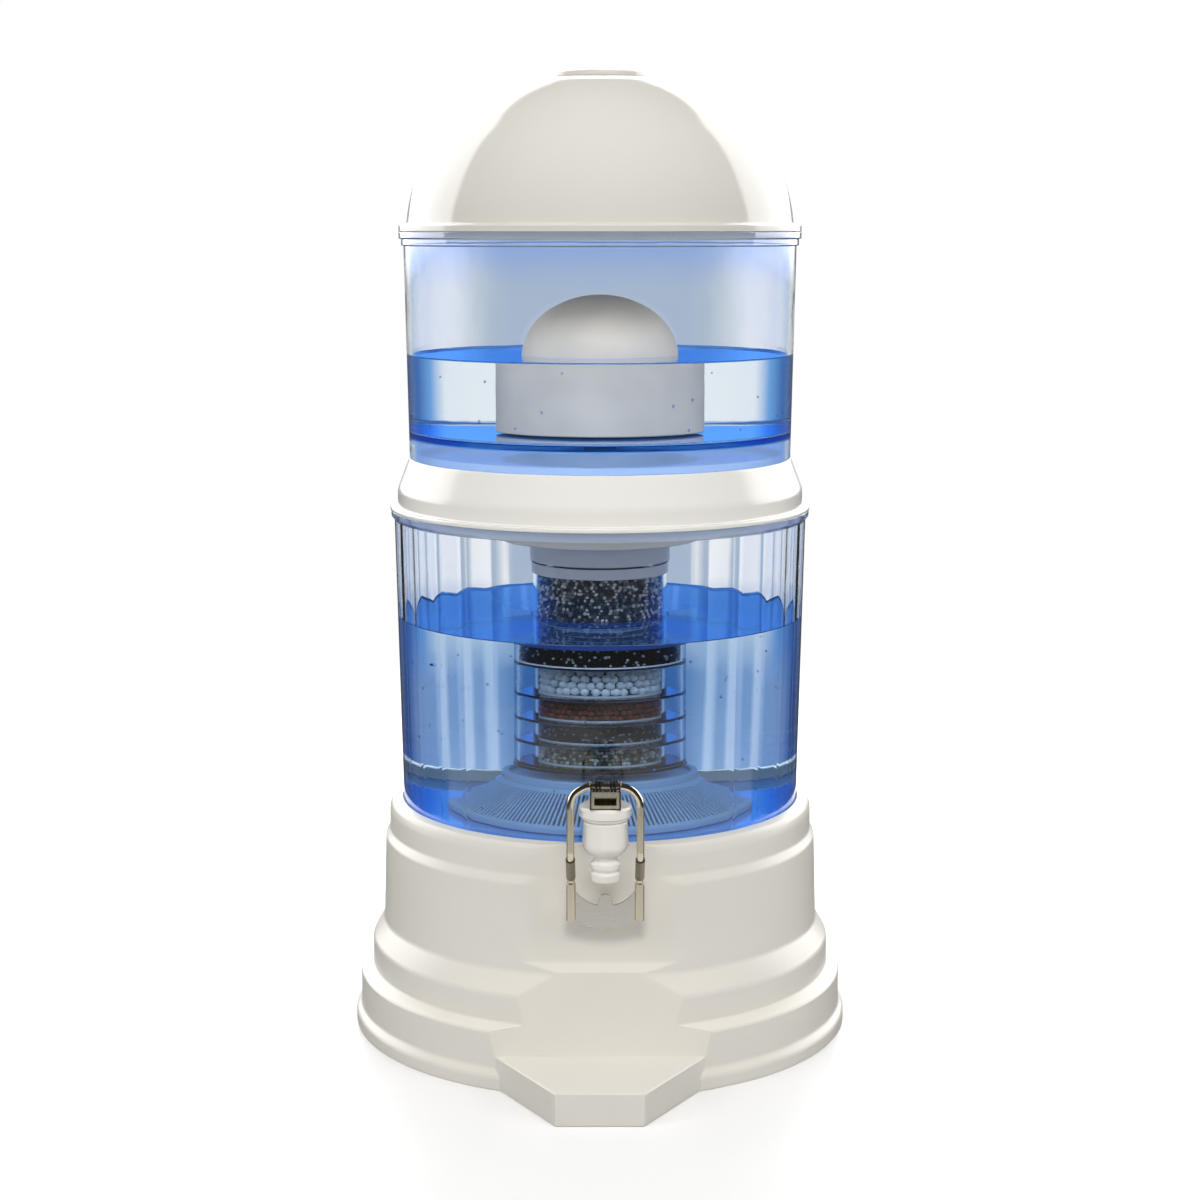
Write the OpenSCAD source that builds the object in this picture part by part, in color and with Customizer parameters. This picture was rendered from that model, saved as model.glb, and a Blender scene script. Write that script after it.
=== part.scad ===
// Gravity water filter: two clear tanks stacked on a stepped stand. Water runs from
// the upper tank through a ceramic dome and a cartridge of stacked media into the
// lower tank, and leaves by a push-lever tap.
// Millimetres, +Z up, the tap towards -Y. The origin is the centre of the footprint.

/* [Lower tank] */
// Outside radius of the lower tank at its foot
lower_r = 123; // [105:0.5:140]
// How much wider the lower tank is at its rim
lower_flare = 3.7; // [1:0.1:8]
// Height of the lower tank
lower_h = 190.8; // [165:0.2:260]
// Wall of the lower tank
lower_wall = 3; // [2.5:0.1:5]
// Floor of the lower tank
lower_floor = 3; // [2:0.1:6]
// Height of the lower tank's turned-out rim
lower_rim_h = 5.6; // [4:0.2:10]
// Overhang of the lower tank's rim
lower_rim_out = 1.9; // [1:0.1:4]
// Smooth sector at the front and at the back of the lower tank, in degrees
smooth_sector = 60; // [40:2:80]
// Flat panels inside the lower tank on each side
side_panels = 12; // [8:1:18]

/* [Stand] */
// Fit of the tank in the stand's recess
recess_fit = 0.5; // [0.3:0.1:1.5]
// Depth of the recess that the lower tank stands in
recess_depth = 10.4; // [6:0.2:16]
// Width of the lip around the recess
lip_w = 6.8; // [5:0.2:12]
// Wall of the stand's moulding
stand_wall = 3; // [2:0.1:4]
// Deck that carries the lower tank
deck_t = 3; // [2:0.1:6]
// Width of the deck under the tank's edge
deck_w = 24; // [12:1:60]
// Height of the rim at the stand's foot
rim_h = 8; // [4:0.5:14]
// Height of the slope above the foot rim
rim_slope_h = 4; // [2:0.5:8]
// Step of the foot rim
rim_step = 3.4; // [2:0.2:8]
// Height of the lowest band
band_d_h = 22; // [14:1:40]
// Height of the ledge above the lowest band
ledge_d_h = 3.4; // [2:0.2:10]
// Step of the lowest band
band_d_step = 7.9; // [4:0.1:14]
// Height of the second band
band_c_h = 16.6; // [10:0.2:30]
// Height of the slope above the second band
ledge_c_h = 12.8; // [6:0.2:20]
// Step of the second band
band_c_step = 7.2; // [4:0.1:12]
// Height of the tall band
band_b_h = 52; // [35:1:80]
// How much the tall band widens downwards
band_b_draft = 1.6; // [0.4:0.1:4]
// Height of the slope above the tall band
ledge_b_h = 5.1; // [3:0.1:10]
// Step of the tall band
band_b_step = 2.7; // [1.5:0.1:6]
// Height of the top band
band_a_h = 12.1; // [8:0.1:24]
// Step of the top band beyond the lip
band_a_step = 1.6; // [0.8:0.1:4]
// Height of the rounded edge under the lip
lip_round_h = 7.4; // [4:0.2:10]
// Plastic left between the recess and the flat pad behind the tap
pad_wall = 2.3; // [1.5:0.1:4]
// How far the flat pad leans out at its lower end
pad_lean = 3.4; // [1:0.1:6]
// Height of the slope between the pad and the niche
pad_slope_h = 4.5; // [2:0.1:8]
// How far the niche leans out at its lower end
niche_lean = 4.6; // [2:0.1:8]
// Height of the foot under the tap
foot_h = 19.2; // [10:0.2:20]
// Reach of the foot from the tank's axis
foot_reach = 197; // [175:1:230]
// Width of the foot's front face
foot_front_w = 50; // [30:1:90]
// Width of the foot where it meets the niche
foot_back_w = 122; // [95:1:124]

/* [Middle lid] */
// Wall of the middle lid
mid_wall = 2.6; // [2:0.1:4]
// Thickness of the middle lid's flange
mid_flange_t = 2.6; // [2:0.1:5]
// Overhang of the flange over the tank's rim
mid_flange_out = 0.5; // [0:0.1:3]
// Height of the upright band above the flange
mid_band_h = 10.1; // [6:0.1:20]
// Height of the sloping shoulder
mid_cone_h = 18.7; // [12:0.1:30]
// Depth of the skirt inside the lower tank
mid_skirt_h = 5; // [3:0.5:10]
// Radius of the well in the middle of the lid
well_r = 62.6; // [55:0.2:75]
// Gap between the mineral case and the cartridge that hangs over it
case_gap = 3.5; // [2:0.1:10]
// Clearance of the cartridge in the well's opening
well_fit = 1.4; // [0.6:0.1:4]
// Height of the ring that centres the upper tank
locating_h = 4; // [2:0.5:8]

/* [Upper tank] */
// Outside radius of the upper tank at its foot
upper_r = 116.9; // [100:0.5:118]
// How much wider the upper tank is at its rim
upper_flare = 2.2; // [0.5:0.1:5]
// Height of the upper tank
upper_h = 136.5; // [120:0.5:190]
// Wall of the upper tank
upper_wall = 2.9; // [2:0.1:5]
// Height of the skirt below the upper tank's floor
upper_skirt_h = 13.3; // [9:0.1:20]
// Floor of the upper tank
upper_floor = 3; // [2:0.1:6]
// Height of the upper tank's rim
upper_rim_h = 8.2; // [5:0.2:14]
// Overhang of the upper tank's rim
upper_rim_out = 2.9; // [2:0.1:5]

/* [Lid] */
// Wall of the lid
lid_wall = 2.5; // [1.8:0.1:4]
// Height of the lid's flat rim
lid_rim_h = 4.3; // [2.5:0.1:8]
// Height from the lid's rim to the centre of the full dome curve
dome_h = 103.6; // [80:0.2:130]
// Radius where the round side turns into the flat top
dome_top_r = 58; // [40:1:80]
// Crown of the flat top
dome_crown = 3; // [1:0.5:8]
// Depth of the skirt inside the upper tank
lid_skirt_h = 4.7; // [3:0.1:10]
// Radius of the vent cap
vent_r = 29; // [20:0.5:40]
// Height of the vent cap above the lid
vent_h = 3; // [2:0.5:8]
// Radius of the vent cap's plug
vent_plug_r = 20; // [12:0.5:26]

/* [Ceramic filter] */
// Radius of the ceramic dome
ceramic_r = 48; // [35:0.5:60]
// Height of the ceramic dome
ceramic_h = 81.5; // [70:0.5:110]
// Height of the rounded top of the ceramic dome
ceramic_cap_h = 38; // [20:1:50]
// Wall of the ceramic dome
ceramic_wall = 9; // [5:0.5:14]
// Thickness of the plastic base glued into the ceramic
ceramic_base_t = 8; // [5:0.5:12]
// Radius of the threaded stem
stem_r = 6; // [4:0.5:9]
// Radius of the water way through the stem
stem_bore_r = 3; // [1.5:0.5:3.5]
// Thickness of each flat seal on the stem
seal_t = 2; // [1:0.5:4]
// Height of the stem's nut
stem_nut_h = 8; // [5:0.5:9]

/* [Cartridge] */
// Outside radius of the cartridge's cap
cap_r = 43.6; // [38:0.2:50]
// Height of the cartridge's cap
cap_h = 20.3; // [16:0.1:30]
// How far the cap rises above the lid's well floor
cap_rise = 7; // [4:0.5:10]
// Wall of the cartridge's plastic pieces
cart_wall = 2; // [1.5:0.1:3]
// Height of the carbon canister
carbon_h = 57; // [45:1:70]
// Height of the carbon bed
carbon_bed_h = 32; // [20:1:40]
// Height of the grey ring round the canister
cart_ring_h = 6.5; // [4:0.5:9]
// Height of the joining ring's web
join_h = 5; // [3:0.5:8]
// Outside radius of the stacked trays
tray_r = 40; // [36:0.2:46]
// Outside radius of the media chamber in a tray
chamber_r = 31; // [24:0.2:34]
// Heights of the five trays from the top down
tray_1_h = 13; // [8:0.5:20]
// Height of the second tray
tray_2_h = 19; // [10:0.5:24]
// Height of the third tray
tray_3_h = 15; // [8:0.5:20]
// Height of the fourth tray
tray_4_h = 14; // [8:0.5:18]
// Height of the fifth tray
tray_5_h = 14; // [8:0.5:18]
// Floor of a tray
tray_floor = 1.2; // [0.8:0.1:2]
// Thickness of the fibre screen on a tray's floor
screen_t = 0.8; // [0.4:0.1:1.5]
// Thickness of the outlet plate under the trays
outlet_t = 2; // [1.5:0.1:3]

/* [Mineral case] */
// Radius of the mineral case at its foot
case_r = 69.5; // [60:0.5:85]
// Radius of the mineral case at its top
case_top_r = 46; // [35:0.5:50]
// Height of the mineral case
case_h = 24; // [18:0.5:26]
// Height of the upright edge at the case's foot
case_foot_h = 4; // [2:0.5:8]
// Wall of the mineral case
case_wall = 2; // [1.2:0.1:3]
// Slots round the mineral case
case_slots = 72; // [36:1:100]
// Width of a slot
slot_w = 1.6; // [0.8:0.1:2]
// Thickness of the case's lid
case_lid_t = 4.5; // [3:0.5:5]
// Radius of a mineral stone
stone_r = 7; // [4:0.5:8]

/* [Tap] */
// Place of the tap to the side of the tank's middle
tap_x = 3; // [0:0.5:4]
// Height of the tap's shank above the lower tank's foot
tap_h = 24.2; // [22:0.2:60]
// Distance of the tap's upright axis from the tank's axis
tap_reach = 160; // [152:1:175]
// Radius of the flat boss for the tap on the tank
boss_r = 13; // [12:0.5:14]
// Radius of the threaded shank
shank_r = 8; // [6:0.5:8]
// Radius of the water way through the shank
shank_bore_r = 4.5; // [3:0.5:4.5]
// Thickness of a tap washer
washer_t = 2; // [1:0.5:3]
// Radius of the bulb
bulb_r = 13; // [12:0.5:15]
// Radius of the bonnet
bonnet_r = 14.9; // [14:0.1:17]
// Height of the bonnet
bonnet_h = 8.2; // [7:0.1:12]
// Radius of the nozzle's rings
nozzle_r = 8.6; // [7:0.1:10]
// Length of the nozzle below the bulb
nozzle_h = 14.2; // [12:0.1:18]
// Radius of the outlet
outlet_r = 5; // [3:0.5:5]
// Radius of the valve chamber
chamber_bore_r = 8.5; // [8:0.1:9]
// Radius of the valve stem
valve_r = 2.5; // [2:0.1:3]

/* [Lever] */
// Radius of the lever's wire
wire_r = 2.2; // [1.5:0.1:2.5]
// Distance of the lever's legs from the tap's middle
leg_x = 19.6; // [19:0.2:24]
// Height of the lever's pivot above the bonnet
pivot_h = 12.4; // [11.5:0.1:15]
// Distance of the pivot in front of the valve stem
pivot_fore = 8; // [7:0.5:9]
// Length of the upper legs below the pivot
upper_leg = 41; // [36:1:50]
// Height of the slanting part of the legs
slant_h = 19; // [14:1:26]
// Room between the stand's flat pad and the lever's lower legs
lever_room = 14.6; // [13.4:0.2:20]
// Length of the lower legs
lower_leg = 24.5; // [20:0.5:26]
// Wall of the sleeves on the wire
sleeve_wall = 0.5; // [0.3:0.1:1]
// Half the width of the bracket
bracket_x = 8.7; // [8.5:0.1:11]
// Sheet of the bracket and of the push plate
sheet_t = 1.2; // [0.8:0.1:1.5]
// Turns of the lever's spring
lever_turns = 5; // [3:1:5]

/* [Fits] */
// Running clearance of the lever's bar and of the valve stem
run_fit = 0.06; // [0.03:0.01:0.1]
// Gap between pieces that are put together by hand
loose_fit = 0.5; // [0.3:0.1:1]
// Gap between a filling and its container
fill_gap = 0.2; // [0.1:0.05:0.5]
// Gap in a screwed, glued or pressed joint
close_fit = 0.05; // [0.02:0.01:0.1]

/* [Hidden] */
$fn = 96;
cut = 1;          // overshoot of a cutting shape

// The stand's radii, from the tank outwards, and its levels, from the floor up
recess_r = lower_r + recess_fit + lower_flare * recess_depth / lower_h;
lip_r = recess_r + lip_w;
band_a_r = lip_r + band_a_step;
band_b_r = band_a_r + band_b_step;
band_b_low_r = band_b_r + band_b_draft;
band_c_r = band_b_low_r + band_c_step;
band_d_r = band_c_r + band_d_step;
rim_r = band_d_r + rim_step;
z_band_d = rim_h + rim_slope_h;
z_ledge_d = z_band_d + band_d_h;
z_band_c = z_ledge_d + ledge_d_h;
z_ledge_c = z_band_c + band_c_h;
z_band_b = z_ledge_c + ledge_c_h;
z_ledge_b = z_band_b + band_b_h;
z_band_a = z_ledge_b + ledge_b_h;
z_lip_round = z_band_a + band_a_h;
z_stand = z_lip_round + lip_round_h;

// The flat pad behind the tap, from its top to its lower end
pad_y = recess_r + pad_wall;
pad_low_y = pad_y + pad_lean;

// The footprint runs from the foot's front to the back of the rim
axis_y = (foot_reach - rim_r) / 2;

// The stack of tanks and lids
z_lower = z_stand - recess_depth;
z_mid = z_lower + lower_h;
z_mid_top = z_mid + mid_flange_t + mid_band_h + mid_cone_h;
z_upper_floor = z_mid_top + upper_skirt_h;
z_upper_in = z_upper_floor + upper_floor;
z_lid = z_mid_top + upper_h;
z_dome = z_lid + lid_rim_h;
lower_top_r = lower_r + lower_flare;
lower_mouth_r = lower_top_r - lower_wall;
lower_rim_r = lower_top_r + lower_rim_out;
mid_flange_r = lower_rim_r + mid_flange_out;
mid_band_r = lower_mouth_r + 1;
well_hole_r = cap_r + well_fit;
upper_top_r = upper_r + upper_flare;
upper_mouth_r = upper_top_r - upper_wall;
upper_rim_r = upper_top_r + upper_rim_out;

// The lid's side is a quarter of an ellipse, cut off where the flat top begins
dome_r = upper_top_r - 1.8;
dome_low = 6;     // how far the ellipse's centre lies below the lid's rim
z_dome_mid = z_dome - dome_low;
dome_a0 = asin(dome_low / dome_h);
dome_a1 = acos(dome_top_r / dome_r);
z_dome_flat = z_dome_mid + dome_h * sin(dome_a1);
z_vent = z_dome_flat + dome_crown;

// The mineral case stands on the lower tank's floor
z_case = z_lower + lower_floor;
z_case_lid = z_case + case_h;

// The cartridge hangs on the ceramic filter's stem, just clear of the mineral case
z_outlet = z_case_lid + case_lid_t + case_gap;
tray_h = [tray_1_h, tray_2_h, tray_3_h, tray_4_h, tray_5_h];
function tray_z(i) = i == 4 ? z_outlet + outlet_t : tray_z(i + 1) + tray_h[i + 1];
z_trays = tray_z(0) + tray_h[0];
z_canister = z_trays + join_h;
cap_plate = 3;
z_cap = z_canister + carbon_h + seal_t + cap_plate;
canister_r = cap_r - cart_wall - 2 * close_fit;
z_carbon_top = z_canister + cart_wall + carbon_bed_h;
z_well = z_cap - cap_rise;
well_depth = z_mid_top - z_well;
stem_grip = 13;   // length of stem that screws into the cartridge's cap
z_stem = z_cap - stem_grip;
ceramic_lift = 1; // gap under the ceramic's edge
z_ceramic_base = z_upper_in + seal_t;

// The tap
z_tap = z_lower + tap_h;
tap_skin_r = lower_r + lower_flare * tap_h / lower_h;
boss_out = 0.9;   // how far the boss stands out of the tank's crown
boss_y = tap_skin_r + boss_out;
boss_in_y = tap_skin_r - lower_wall - 1.2;
flange_t = 2.5;
flange_r = boss_r - 1.5;
flange_y = boss_y + washer_t;
nut_t = 7;
nut_y = boss_in_y - washer_t;
shank_end_y = nut_y - nut_t - 5;
z_seat = z_tap - 6;
z_shoulder = z_tap + 8.6;
z_bonnet = z_shoulder + 1;
z_bonnet_top = z_bonnet + bonnet_h;
bonnet_top_t = 2.8;
neck_r = bulb_r - 1.2;
bulb_low = 9;     // height of the bulb's rounded lower half
z_bulb = z_tap - 4;
z_neck = z_bulb - bulb_low * sqrt(1 - pow(6.5 / bulb_r, 2));
z_nozzle = z_neck - nozzle_h;
seal_r = chamber_bore_r - 1.3;
valve_seal_t = 2.5;
z_valve = z_seat + valve_seal_t;
valve_flange_t = 1.5;

// The lever
pivot_y = tap_reach + pivot_fore;
z_pivot = z_bonnet_top + pivot_h;
z_finger = z_pivot - 2.7;
lower_y = pad_low_y + lever_room;
set_back = pivot_y - lower_y;
z_slant = z_pivot - upper_leg;
z_lower_leg = z_slant - slant_h;
z_leg_end = z_lower_leg - lower_leg;
tube_r = wire_r + sleeve_wall + 2 * close_fit;
spring_r = 0.7;   // wire radius of the lever's spring
finger_w = 1.4;
ear_front = pivot_y + 5.5;
ear_back = pivot_y - 3.5;

// A tube that stands on the XY plane
module tube(r, bore, h) {
    difference() {
        cylinder(r = r, h = h);
        translate([0, 0, -cut]) cylinder(r = bore, h = h + 2 * cut);
    }
}

// A disc about the tap's horizontal axis, from one distance in front of the tank's axis to another
module tap_disc(r, y_near, y_far, faces = $fn) {
    translate([tap_x, axis_y - y_near, z_tap])
        rotate([90, 0, 0]) cylinder(r = r, h = y_far - y_near, $fn = faces);
}

// A round wire through a list of points; the ball at each point is a little thicker, as a bend is
module wire(path, r) {
    bend_r = r + 0.04;
    for (i = [0 : len(path) - 2]) {
        d = path[i + 1] - path[i];
        translate(path[i])
            rotate([0, acos(d[2] / norm(d)), atan2(d[1], d[0])]) cylinder(r = r, h = norm(d), $fn = 32);
    }
    for (p = path) translate(p) sphere(r = bend_r, $fn = 32);
}

// A coil about Z that starts on the XY plane: mean radius, wire radius, pitch and turns
module coil(mean_r, r, pitch, turns) {
    around = 20;
    sides = 8;
    rings = around * turns;
    points = [for (i = [0 : rings]) for (k = [0 : sides - 1])
        let (a = 360 * i / around, b = 360 * k / sides, rad = mean_r + r * cos(b))
        [rad * cos(a), rad * sin(a), pitch * i / around + r * sin(b)]];
    skin = [for (i = [0 : rings - 1]) for (k = [0 : sides - 1])
        let (n = (k + 1) % sides)
        [i * sides + k, i * sides + n, (i + 1) * sides + n, (i + 1) * sides + k]];
    first = [for (k = [0 : sides - 1]) sides - 1 - k];
    last = [for (k = [0 : sides - 1]) rings * sides + k];
    polyhedron(points = points, faces = concat(skin, [first, last]), convexity = 10);
}

// Six-sided holes in rings round the middle of a plate
module perforations(r_max, h) {
    pitch = 7;
    for (ring = [1 : floor((r_max - 3) / pitch)])
        for (i = [0 : 6 * ring - 1])
            rotate([0, 0, 60 * i / ring])
                translate([ring * pitch, 0, -cut]) cylinder(r = 1.8, h = h + 2 * cut, $fn = 6);
}

// Outline of the stand, drawn in by the given wall
module stand_outline(inset) {
    polygon([
        [0, -inset],
        [rim_r - inset, -inset],
        [rim_r - inset, rim_h - inset / 2],
        [band_d_r - inset, z_band_d - inset / 2],
        [band_d_r - inset, z_ledge_d - inset],
        [band_c_r - inset, z_band_c - inset],
        [band_c_r - inset, z_ledge_c - inset],
        [band_b_low_r - inset, z_band_b - inset],
        [band_b_r - inset, z_ledge_b - inset],
        [band_a_r - inset, z_band_a - inset],
        [band_a_r - inset, z_lip_round],
        [lip_r + 0.6 - inset, z_stand - 3],
        [lip_r - inset, z_stand - 1.6],
        [lip_r - lip_w / 2 - inset, z_stand - 0.5],
        [recess_r - inset, z_stand],
        [0, z_stand]
    ]);
}

// What the flat pad and the niche take off the stand's front, moved back by the given wall
module front_cut(inset) {
    z_pad = z_band_b + 6.2;
    niche_y = pad_low_y + pad_slope_h;
    niche_low_y = niche_y + niche_lean;
    far_y = foot_reach + 10;
    rotate([90, 0, -90])
        translate([0, 0, -rim_r])
            linear_extrude(height = 2 * rim_r)
                polygon([
                    [pad_y - inset, z_stand + cut],
                    [pad_low_y - inset, z_pad],
                    [niche_y - inset, z_pad - pad_slope_h],
                    [niche_low_y - inset, foot_h - inset],
                    [far_y, foot_h - inset],
                    [far_y, z_stand + cut]
                ]);
}

// Plan of the foot under the tap, drawn in by the given wall
module foot_plan(inset) {
    back_y = pad_low_y + pad_slope_h + niche_lean;
    root = 20;    // how far the plan reaches back into the stand
    // shift of the slanting sides that keeps their wall even
    slant = inset * 1.18;
    polygon([
        [-foot_back_w / 2 + slant, -back_y + inset],
        [-foot_front_w / 2 + slant * 0.55, -foot_reach + inset],
        [foot_front_w / 2 - slant * 0.55, -foot_reach + inset],
        [foot_back_w / 2 - slant, -back_y + inset],
        [foot_back_w / 2 - slant, -back_y + root],
        [-foot_back_w / 2 + slant, -back_y + root]
    ]);
}

module stand() {
    color("#dedad2") translate([0, axis_y, 0])
        difference() {
            union() {
                difference() {
                    rotate_extrude() stand_outline(0);
                    front_cut(0);
                }
                linear_extrude(height = foot_h) foot_plan(0);
            }
            difference() {
                rotate_extrude() intersection() {
                    stand_outline(stand_wall);
                    square([rim_r, z_lower - deck_t]);
                }
                front_cut(stand_wall);
            }
            translate([0, 0, -cut]) cylinder(r = rim_r - stand_wall, h = 2 * cut);
            translate([0, 0, -cut])
                linear_extrude(height = foot_h - stand_wall + cut) foot_plan(stand_wall);
            translate([0, 0, z_lower]) cylinder(r = recess_r, h = recess_depth + cut);
            translate([0, 0, z_lower - deck_t - cut])
                cylinder(r = lower_r - deck_w, h = deck_t + 2 * cut);
        }
}

// Inside of the lower tank: smooth at the front and the back, with flat panels at the sides
module tank_inside(h) {
    in_r = lower_r - lower_wall + 0.3;
    rise = atan(lower_flare / lower_h);
    panel = (180 - smooth_sector) / side_panels;
    half = panel / 2;
    panel_w = 2 * (lower_mouth_r + 2) * sin(half);
    difference() {
        cylinder(r1 = in_r, r2 = in_r + lower_flare * h / lower_h, h = h);
        for (side = [0, 180])
            for (i = [0 : side_panels - 1])
                rotate([0, 0, side + smooth_sector / 2 + half + i * panel])
                    translate([0, -in_r * cos(half), 0])
                        rotate([rise, 0, 0])
                            translate([-panel_w / 2, -10, -cut]) cube([panel_w, 10, h + 4 * cut]);
    }
}

module lower_tank() {
    rim_low = lower_h - lower_rim_h;
    color("#5b93dd", 0.45) difference() {
        translate([0, axis_y, z_lower]) difference() {
            union() {
                rotate_extrude() polygon([
                    [0, 0],
                    [lower_r - 1, 0],
                    [lower_r, 1],
                    [lower_top_r, rim_low],
                    [lower_rim_r, rim_low + 2],
                    [lower_rim_r, lower_h],
                    [0, lower_h]
                ]);
                translate([tap_x, 0, tap_h]) rotate([90, 0, 0]) cylinder(r = boss_r, h = boss_y);
            }
            difference() {
                translate([0, 0, lower_floor]) tank_inside(rim_low - lower_floor + 0.5);
                translate([tap_x, 0, tap_h])
                    rotate([90, 0, 0]) translate([0, 0, boss_in_y]) cylinder(r = boss_r, h = 20);
            }
            translate([0, 0, rim_low]) cylinder(r = lower_mouth_r, h = lower_rim_h + cut);
        }
        tap_disc(shank_r + 2 * close_fit, shank_end_y, boss_y + cut);
    }
}

module mineral_case() {
    slot_in = case_top_r + 4;
    slot_out = case_r - 2;
    color("#8fb8e8", 0.6) translate([0, axis_y, z_case]) difference() {
        rotate_extrude() polygon([
            [0, 0],
            [case_r, 0],
            [case_r, case_foot_h],
            [case_top_r, case_h],
            [case_top_r - 2 * case_wall, case_h],
            [case_top_r - 2 * case_wall, case_h - case_wall],
            [case_top_r - case_wall, case_h - case_wall],
            [case_r - 2 * case_wall, case_foot_h],
            [case_r - 2 * case_wall, case_wall],
            [0, case_wall]
        ]);
        for (i = [0 : case_slots - 1])
            rotate([0, 0, 360 * i / case_slots])
                translate([slot_in, -slot_w / 2, case_wall + 1])
                    cube([slot_out - slot_in, slot_w, case_h]);
    }
}

module mineral_case_lid() {
    grip_r = 7;
    dish_h = 2;
    plug_h = case_wall + 1.5;
    color("#8fb8e8", 0.6) translate([0, axis_y, z_case_lid]) {
        difference() {
            cylinder(r = case_top_r - 0.5, h = case_lid_t);
            translate([0, 0, case_lid_t - dish_h]) tube(case_top_r - 4, grip_r, dish_h + cut);
        }
        translate([0, 0, -plug_h]) cylinder(r = case_top_r - 2 * case_wall - fill_gap, h = plug_h);
    }
}

// Stones lie in rings on the floor of the case
module mineral_stones() {
    pitch = 2 * stone_r + 1;
    rings = floor((case_r - 2 * case_wall - 2 * stone_r) / pitch);
    color("#8a8f86") translate([0, axis_y, z_case + case_wall + stone_r])
        for (ring = [1 : rings]) {
            count = floor(360 / (2 * asin(pitch / 2 / (ring * pitch))));
            for (i = [0 : count - 1])
                rotate([0, 0, 360 * i / count + 17 * ring])
                    translate([ring * pitch, 0, 0]) sphere(r = stone_r, $fn = 24);
        }
}

module tap_body() {
    bulb = [for (a = [0 : 15 : 60]) [bulb_r * cos(a), z_bulb - bulb_low * sin(a)]];
    color("#e4e1da") difference() {
        union() {
            translate([tap_x, axis_y - tap_reach, 0]) rotate_extrude() polygon(concat(
                [[0, z_bonnet_top - bonnet_top_t],
                 [neck_r, z_bonnet_top - bonnet_top_t],
                 [neck_r, z_shoulder],
                 [bulb_r - 0.6, z_shoulder]],
                bulb,
                [[6.5, z_neck],
                 [6.8, z_neck - 2.4],
                 [nozzle_r, z_neck - 3.6],
                 [nozzle_r, z_neck - 6.6],
                 [nozzle_r - 1.3, z_neck - 8],
                 [nozzle_r - 1.3, z_neck - 8.8],
                 [nozzle_r, z_neck - 9.6],
                 [nozzle_r - 0.8, z_nozzle],
                 [0, z_nozzle]]
            ));
            tap_disc(shank_r - 1, flange_y, tap_reach);
            tap_disc(flange_r, flange_y, flange_y + flange_t);
            tap_disc(shank_r, shank_end_y, flange_y + cut);
        }
        tap_disc(shank_bore_r, shank_end_y - cut, tap_reach);
        translate([tap_x, axis_y - tap_reach, 0]) {
            translate([0, 0, z_seat]) cylinder(r = chamber_bore_r, h = z_bonnet_top - z_seat);
            translate([0, 0, z_nozzle - cut]) cylinder(r = outlet_r, h = z_seat - z_nozzle + 2 * cut);
        }
    }
}

module tap_bonnet() {
    color("#e4e1da") translate([tap_x, axis_y - tap_reach, 0]) difference() {
        rotate_extrude() polygon([
            [0, z_bonnet],
            [bonnet_r - 1.6, z_bonnet],
            [bonnet_r, z_bonnet + 2],
            [bonnet_r, z_bonnet_top - 0.8],
            [bonnet_r - 0.8, z_bonnet_top],
            [0, z_bonnet_top]
        ]);
        translate([0, 0, z_bonnet - cut])
            cylinder(r = neck_r + close_fit, h = bonnet_h - bonnet_top_t + cut);
        translate([0, 0, z_bonnet]) cylinder(r = valve_r + run_fit, h = bonnet_h + cut);
    }
}

module tap_outer_washer() {
    color("#3f4348") difference() {
        tap_disc(flange_r + 0.5, boss_y, flange_y);
        tap_disc(shank_r + close_fit, boss_y - cut, flange_y + cut);
    }
}

module tap_inner_washer() {
    color("#3f4348") difference() {
        tap_disc(flange_r, nut_y, boss_in_y);
        tap_disc(shank_r + close_fit, nut_y - cut, boss_in_y + cut);
    }
}

module tap_nut() {
    color("#e4e1da") difference() {
        union() {
            tap_disc(flange_r + 0.5, nut_y - nut_t, nut_y - 1.5, 6);
            tap_disc(flange_r, nut_y - 1.5, nut_y);
        }
        tap_disc(shank_r + close_fit, nut_y - nut_t - cut, nut_y + cut);
    }
}

// The stem's top is cut through for the lever's finger
module valve_stem() {
    eye_h = 3.6;
    color("#b9b7b0") translate([tap_x, axis_y - tap_reach, 0]) difference() {
        union() {
            translate([0, 0, z_valve]) cylinder(r = valve_r, h = z_finger + eye_h / 2 + 1.3 - z_valve);
            translate([0, 0, z_valve]) cylinder(r = seal_r - 1, h = valve_flange_t);
        }
        translate([-finger_w / 2 - 0.25, -valve_r - cut, z_finger - eye_h / 2])
            cube([finger_w + 0.5, 2 * valve_r + 2 * cut, eye_h]);
    }
}

module valve_seal() {
    color("#c9c9c6") translate([tap_x, axis_y - tap_reach, z_seat]) cylinder(r = seal_r, h = valve_seal_t);
}

// Presses the valve onto its seat
module valve_spring() {
    r = 0.5;
    turns = 5;
    low = z_valve + valve_flange_t + r;
    high = z_bonnet_top - bonnet_top_t - r;
    color("#a9a9a6") translate([tap_x, axis_y - tap_reach, low])
        coil(valve_r + 1.4, r, (high - low) / turns, turns);
}

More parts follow.
